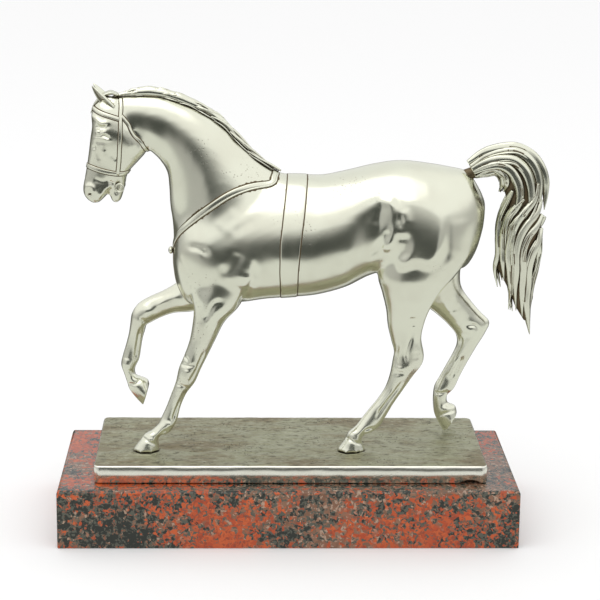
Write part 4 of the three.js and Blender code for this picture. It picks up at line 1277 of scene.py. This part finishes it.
class STATUETTE_OT_mane(bpy.types.Operator):
    """Build the rolled mane along the crest and its locks down the far side"""
    bl_idname = "statuette.mane"
    bl_label = "Mane locks"

    def execute(self, context):
        rng = random.Random(5)
        parts = [mane_core()]
        count = settings().mane_locks
        for i in range(count):
            root = 0.86 * i / (count - 1)
            length = rng.uniform(0.13, 0.22)
            level = (i % 3) / 3
            parts.append(mane_lock(root, length, -0.13 + 0.12 * level, rng.uniform(0.1, 0.2), 0.25 + 0.3 * level,
                                   0.5 + 0.4 * level, rng.uniform(0.8, 1.25), rng.uniform(0.6, 0.85), i))
        for i in range(count):
            root = 0.03 + 0.9 * i / (count - 1)
            parts.append(mane_lock(root, rng.uniform(0.04, 0.09), 0.12, rng.uniform(0.75, 1.25) * (1.1 - 0.5 * root),
                                   0.16, 0.55, rng.uniform(1.3, 1.9), 1.0, 2 * i))
        for i in range(9):
            root = 0.04 + 0.1 * i
            parts.append(mane_lock(root, 0.13, -0.16, 0.02, 0.06, 0.12, 0.45, 0.4, 3 * i))
        for y, bend in ((-1.6, 0.6), (0.2, 1.4), (1.8, 0.9)):
            path = [[-85, y, 219.6], [-89, 1.2 * y, 220.4 + 0.3 * bend], [-93.5, 1.3 * y, 218.4], [-97, 1.1 * y, 214.6],
                    [-98.8, 0.6 * y, 210.4]]
            parts.append(skin_rings(lock_rings(path, (-0.5, 0, 0.8), [0.5, 1.2, 1.2, 0.8, 0.15], [0.4, 0.8, 0.8, 0.5, 0.15],
                                               30, 12, 4, 0.16, 3.0)))
        finish_piece("mane_hair", gather(parts), silver_material())
        return {"FINISHED"}


SILVER_PIECES = ["horse_casting", "harness_straps", "bridle_straps", "mane_hair", "tail_hair"]


class STATUETTE_OT_tarnish(bpy.types.Operator):
    """Find how closed in the metal's surfaces are, for the tarnish in the hollows"""
    bl_idname = "statuette.tarnish"
    bl_label = "Tarnish"

    def execute(self, context):
        tree = surface_tree(*SILVER_PIECES, "cast_ground_plate")
        for name in SILVER_PIECES:
            mark_hollows(bpy.data.objects[name], tree, 4.0, 8)
        mark_hollows(bpy.data.objects["cast_ground_plate"], tree, 6.0, 6)
        return {"FINISHED"}


PLATE = {"length": 197, "depth": 81, "top": 40, "under": 30.3, "corner": 3.2, "edge": 0.9, "x": 1.1, "y": 1.5}
# Where the hooves are soldered on: x, y, half sizes of the ring
HOOF_PRINTS = [(-72.4, -15, 7.6, 6.6), (32.2, -15, 8, 6.6), (85.6, 16.6, 3.6, 3.6)]


def ground_height(x, y):
    """Relief of the plate's rough top at a place."""
    ridges = noise.fractal(Vector((x * 0.05, y * 0.11, 3.1)), 0.9, 2.1, 4, noise_basis="PERLIN_ORIGINAL")
    ripples = 1 - abs(noise.noise(Vector((x * 0.10, y * 0.42, 1.7)))) * 2.4
    rough = noise.fractal(Vector((x * 0.5, y * 0.62, 8)), 0.7, 2.2, 3, noise_basis="PERLIN_ORIGINAL")
    middle = math.exp(-((x + 15) / 45) ** 2)
    return 0.6 * ridges + 0.28 * middle * ripples + 0.2 * rough


class STATUETTE_OT_ground_plate(bpy.types.Operator):
    """Build the cast ground plate with its rough top"""
    bl_idname = "statuette.ground_plate"
    bl_label = "Ground plate"

    def execute(self, context):
        bm = bmesh.new()
        across, deep = 330, 136
        bmesh.ops.create_grid(bm, x_segments=across, y_segments=deep, size=1)
        half_x, half_y, corner, edge = PLATE["length"] / 2, PLATE["depth"] / 2, PLATE["corner"], PLATE["edge"]
        rim = [e for e in bm.edges if e.is_boundary]
        ground = bm.verts.layers.float.new("ground")
        for vert in bm.verts:
            x, y = vert.co.x * (half_x - edge), vert.co.y * (half_y - edge)
            inner_x = max(-half_x + corner, min(half_x - corner, x))
            inner_y = max(-half_y + corner, min(half_y - corner, y))
            off = Vector((x - inner_x, y - inner_y))
            if off.length > 1e-6:
                off *= max(abs(off.x), abs(off.y)) / off.length
            x, y = inner_x + off.x, inner_y + off.y
            inset = min(half_x - edge - abs(x), half_y - edge - abs(y))
            rise = ground_height(x, y) * min(1.0, 0.3 + inset / 5)
            for hoof_x, hoof_y, wide, deep_by in HOOF_PRINTS:
                away = math.hypot((PLATE["x"] + x - hoof_x) / wide, (PLATE["y"] + y - hoof_y) / deep_by)
                rise += 0.55 * math.exp(-((away - 1) / 0.13) ** 2) if away < 1.5 else 0
            vert[ground] = 1.0
            vert.co = (PLATE["x"] + x, PLATE["y"] + y, PLATE["top"] - 0.55 + rise)
        levels = [(edge * 0.6, PLATE["top"] - 0.5 - edge * 0.3, 0.1), (edge, PLATE["top"] - 0.5 - edge, 0.0),
                  (edge, 35.5, 0.0), (edge, PLATE["under"] + 0.6, 0.0), (edge - 0.5, PLATE["under"], 0.0)]
        edges = rim
        base = {v: v.co.copy() for e in rim for v in e.verts}
        loop = {v: v for v in base}
        centre = Vector((PLATE["x"], PLATE["y"], 0))
        for grow, z, dirt in levels:
            made = bmesh.ops.extrude_edge_only(bm, edges=edges)["geom"]
            fresh = {item for item in made if isinstance(item, bmesh.types.BMVert)}
            edges = [i for i in made if isinstance(i, bmesh.types.BMEdge) and fresh.issuperset(i.verts)]
            following = {}
            for vert, first in loop.items():
                new = next(e.other_vert(vert) for e in vert.link_edges if e.other_vert(vert) in fresh)
                following[new] = first
                origin = base[first]
                inner = Vector((max(-half_x + corner, min(half_x - corner, origin.x - centre.x)),
                                max(-half_y + corner, min(half_y - corner, origin.y - centre.y))))
                way = (Vector((origin.x - centre.x, origin.y - centre.y)) - inner)
                way = way.normalized() if way.length > 1e-6 else Vector((0, 0))
                front_gap = 1.6 * math.exp(-((origin.x - 91) / 4.5) ** 4) if origin.y < -35 and z < 33 else 0.0
                uneven = 0.18 * noise.noise(Vector((origin.x * 0.12, origin.y * 0.12, z)))
                new.co = (origin.x + way.x * (grow + uneven), origin.y + way.y * (grow + uneven), z + front_gap)
                new[ground] = dirt
            loop = following
        bmesh.ops.contextual_create(bm, geom=edges)
        bmesh.ops.recalc_face_normals(bm, faces=bm.faces)
        finish_piece("cast_ground_plate", bm, plate_material(), ["ground_plate"])
        return {"FINISHED"}


class STATUETTE_OT_plinth(bpy.types.Operator):
    """Build the polished granite plinth"""
    bl_idname = "statuette.plinth"
    bl_label = "Granite plinth"

    def execute(self, context):
        low, high = (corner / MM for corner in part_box("granite_plinth"))
        size = high - low
        bm = bmesh.new()
        bmesh.ops.create_cube(bm, size=1)
        bmesh.ops.scale(bm, vec=size, verts=bm.verts)
        bmesh.ops.translate(bm, vec=(low + high) / 2, verts=bm.verts)
        top = [e for e in bm.edges if all(v.co.z > high.z - 0.1 for v in e.verts)]
        bmesh.ops.bevel(bm, geom=top, offset=settings().plinth_edge / MM, segments=4, profile=0.5,
                        affect="EDGES", material=-1)
        rest = [e for e in bm.edges if len(e.link_faces) == 2 and e.calc_face_angle() > 1.2]
        bmesh.ops.bevel(bm, geom=rest, offset=0.6, segments=3, profile=0.5, affect="EDGES", material=-1)
        bmesh.ops.recalc_face_normals(bm, faces=bm.faces)
        piece = finish_piece("plinth_block", bm, granite_material(), ["granite_plinth"])
        for polygon in piece.data.polygons:
            polygon.use_smooth = polygon.area < 200 * MM * MM
        return {"FINISHED"}


# Stage

def photo_camera():
    pitch, yaw, roll = CAMERA["pitch"], CAMERA["yaw"], CAMERA["roll"]
    ahead = Vector((math.sin(yaw) * math.cos(pitch), math.cos(yaw) * math.cos(pitch), -math.sin(pitch)))
    right = Vector((math.cos(yaw), -math.sin(yaw), 0))
    up = right.cross(ahead)
    side = math.cos(roll) * right + math.sin(roll) * up
    top = -math.sin(roll) * right + math.cos(roll) * up
    data = bpy.data.cameras.new("photo camera")
    data.lens = CAMERA["lens"]
    data.sensor_width = 36
    data.clip_start = 0.05
    camera = bpy.data.objects.new("photo camera", data)
    camera.matrix_world = Matrix.Translation(Vector(CAMERA["place"]) * MM) @ Matrix(
        (side, top, -ahead)).transposed().to_4x4()
    bpy.context.scene.collection.objects.link(camera)
    bpy.context.scene.camera = camera
    return camera


def studio_world():
    """Soft tent light: bright above, a dark opening where the camera stands, white to the camera itself."""
    world = bpy.data.worlds.new("studio tent")
    world.use_nodes = True
    bpy.context.scene.world = world
    tree = world.node_tree
    tree.nodes.clear()
    way = add_node(tree, "ShaderNodeTexCoord").outputs["Generated"]
    height = add_node(tree, "ShaderNodeSeparateXYZ", {0: way}).outputs["Z"]
    ramp = add_node(tree, "ShaderNodeValToRGB", {"Fac": add_math(tree, "MULTIPLY_ADD", height, 0.5, 0.5)})
    stops = [(0.0, 0.42), (0.36, 0.42), (0.50, 0.46), (0.60, 0.6), (0.70, 1.3), (0.82, 1.5), (1.0, 1.45)]
    ramp.color_ramp.interpolation = "B_SPLINE"
    while len(ramp.color_ramp.elements) < len(stops):
        ramp.color_ramp.elements.new(0.5)
    for element, (place, value) in zip(ramp.color_ramp.elements, stops):
        element.position = place
        element.color = (value, value, value, 1)
    light = ramp.outputs["Color"]

    def spot(direction, wide, narrow, flatness=1.0):
        towards = Vector(direction).normalized()
        facing = add_node(tree, "ShaderNodeVectorMath", {0: way, 1: towards}, operation="DOT_PRODUCT").outputs["Value"]
        return add_range(tree, facing, math.cos(math.radians(wide)), math.cos(math.radians(narrow)))

    behind = add_math(tree, "MULTIPLY", spot((0, 1, 0.35), 60, 25), 0.8)
    light = add_mix(tree, behind, light, (0.84, 0.85, 0.86))
    across = add_node(tree, "ShaderNodeSeparateXYZ", {0: way}).outputs
    front = add_math(tree, "ARCTAN2", across["X"], add_math(tree, "MULTIPLY", across["Y"], -1.0))
    opening = add_range(tree, add_math(tree, "ABSOLUTE", front), 0.56, 0.36)
    opening = add_math(tree, "MULTIPLY", opening, add_range(tree, across["Z"], 0.36, 0.06))
    light = add_mix(tree, add_math(tree, "MULTIPLY", opening, 0.96), light, (0.04, 0.045, 0.04))
    low_back = add_math(tree, "MULTIPLY", add_range(tree, across["Y"], 0.35, 0.7), add_range(tree, across["Z"], 0.1, -0.06))
    light = add_mix(tree, low_back, light, (0.12, 0.12, 0.10))
    seen = add_node(tree, "ShaderNodeLightPath").outputs["Is Camera Ray"]
    white = add_node(tree, "ShaderNodeBackground", {"Color": (1, 1, 1, 1), "Strength": 1.0}).outputs[0]
    dull = add_node(tree, "ShaderNodeLightPath").outputs["Is Diffuse Ray"]
    tent = add_node(tree, "ShaderNodeBackground", {"Color": light, "Strength": 1.0}).outputs[0]
    even = add_node(tree, "ShaderNodeMixShader", {0: dull, 1: tent, 2: white}).outputs[0]
    both = add_node(tree, "ShaderNodeMixShader", {0: seen, 1: even, 2: white}).outputs[0]
    out = add_node(tree, "ShaderNodeOutputWorld")
    tree.links.new(both, out.inputs["Surface"])


def pale_floor():
    bm = bmesh.new()
    bmesh.ops.create_circle(bm, cap_ends=True, segments=96, radius=9.0)
    mesh = bpy.data.meshes.new("pale_floor")
    bm.to_mesh(mesh)
    bm.free()
    floor = bpy.data.objects.new("pale_floor", mesh)
    bpy.context.scene.collection.objects.link(floor)
    material = bpy.data.materials.new("pale floor")
    material.use_nodes = True
    shader = material.node_tree.nodes["Principled BSDF"]
    shader.inputs["Base Color"].default_value = (0.97, 0.97, 0.97, 1)
    shader.inputs["Roughness"].default_value = 0.9
    shader.inputs["Specular IOR Level"].default_value = 0.1
    mesh.materials.append(material)
    floor.visible_glossy = False


def table_glow():
    """What the metal mirrors below it: the white table top, which ends a little in front of the plinth."""
    bm = bmesh.new()
    bmesh.ops.create_grid(bm, x_segments=2, y_segments=2, size=2.0)
    mesh = bpy.data.meshes.new("table_glow")
    bm.to_mesh(mesh)
    bm.free()
    card = bpy.data.objects.new("table_glow", mesh)
    bpy.context.scene.collection.objects.link(card)
    mesh.transform(Matrix.Translation((0, 0, -0.001)))
    material = bpy.data.materials.new("table glow")
    material.use_nodes = True
    tree = material.node_tree
    tree.nodes.clear()
    place = add_node(tree, "ShaderNodeTexCoord").outputs["Object"]
    depth = add_node(tree, "ShaderNodeSeparateXYZ", {0: place}).outputs["Y"]
    inside = add_math(tree, "MULTIPLY", add_range(tree, depth, -0.50, -0.40), add_range(tree, depth, 0.16, 0.08))
    glow = add_node(tree, "ShaderNodeEmission", {"Color": (0.76, 0.77, 0.75, 1), "Strength": 1.0}).outputs[0]
    clear = add_node(tree, "ShaderNodeBsdfTransparent").outputs[0]
    both = add_node(tree, "ShaderNodeMixShader", {0: inside, 1: clear, 2: glow}).outputs[0]
    out = add_node(tree, "ShaderNodeOutputMaterial")
    tree.links.new(both, out.inputs["Surface"])
    mesh.materials.append(material)
    card.visible_camera = False
    card.visible_diffuse = False
    card.visible_shadow = False


def soft_light(name, place, target, size, power):
    data = bpy.data.lights.new(name, "AREA")
    data.shape = "DISK"
    data.size = size
    data.energy = power
    light = bpy.data.objects.new(name, data)
    light.location = place
    light.rotation_euler = (Vector(target) - Vector(place)).to_track_quat("-Z", "Y").to_euler()
    bpy.context.scene.collection.objects.link(light)
    return light


class STATUETTE_OT_stage(bpy.types.Operator):
    """Set up the pale floor, the soft studio light and the camera"""
    bl_idname = "statuette.stage"
    bl_label = "Stage"

    def execute(self, context):
        photo_camera()
        studio_world()
        pale_floor()
        table_glow()
        soft_light("overhead softbox", (-0.3, -0.5, 1.5), (0, 0, 0.1), 1.6, 4)
        context.scene.view_settings.view_transform = "Standard"
        return {"FINISHED"}


class STATUETTE_PT_panel(bpy.types.Panel):
    """The statuette's sizes, colours and building steps"""
    bl_label = "Statuette"
    bl_idname = "STATUETTE_PT_panel"
    bl_space_type = "VIEW_3D"
    bl_region_type = "UI"
    bl_category = "Statuette"

    def draw(self, context):
        for key in StatuetteSettings.__annotations__:
            self.layout.prop(context.scene.statuette, key)
        for operator in OPERATORS:
            self.layout.operator(operator.bl_idname)


OPERATORS = [
    STATUETTE_OT_casting,
    STATUETTE_OT_harness,
    STATUETTE_OT_bridle,
    STATUETTE_OT_mane,
    STATUETTE_OT_tail,
    STATUETTE_OT_ground_plate,
    STATUETTE_OT_plinth,
    STATUETTE_OT_tarnish,
    STATUETTE_OT_stage,
]
CLASSES = [StatuetteSettings, *OPERATORS, STATUETTE_PT_panel]


def register():
    for item in CLASSES:
        bpy.utils.register_class(item)
    bpy.types.Scene.statuette = PointerProperty(type=StatuetteSettings)


def unregister():
    del bpy.types.Scene.statuette
    for item in reversed(CLASSES):
        bpy.utils.unregister_class(item)


def main():
    register()
    bpy.ops.statuette.casting()
    bpy.ops.statuette.harness()
    bpy.ops.statuette.bridle()
    bpy.ops.statuette.mane()
    bpy.ops.statuette.tail()
    bpy.ops.statuette.ground_plate()
    bpy.ops.statuette.plinth()
    bpy.ops.statuette.tarnish()
    bpy.ops.statuette.stage()
    bpy.context.view_layer.update()


if __name__ == "__main__":
    main()
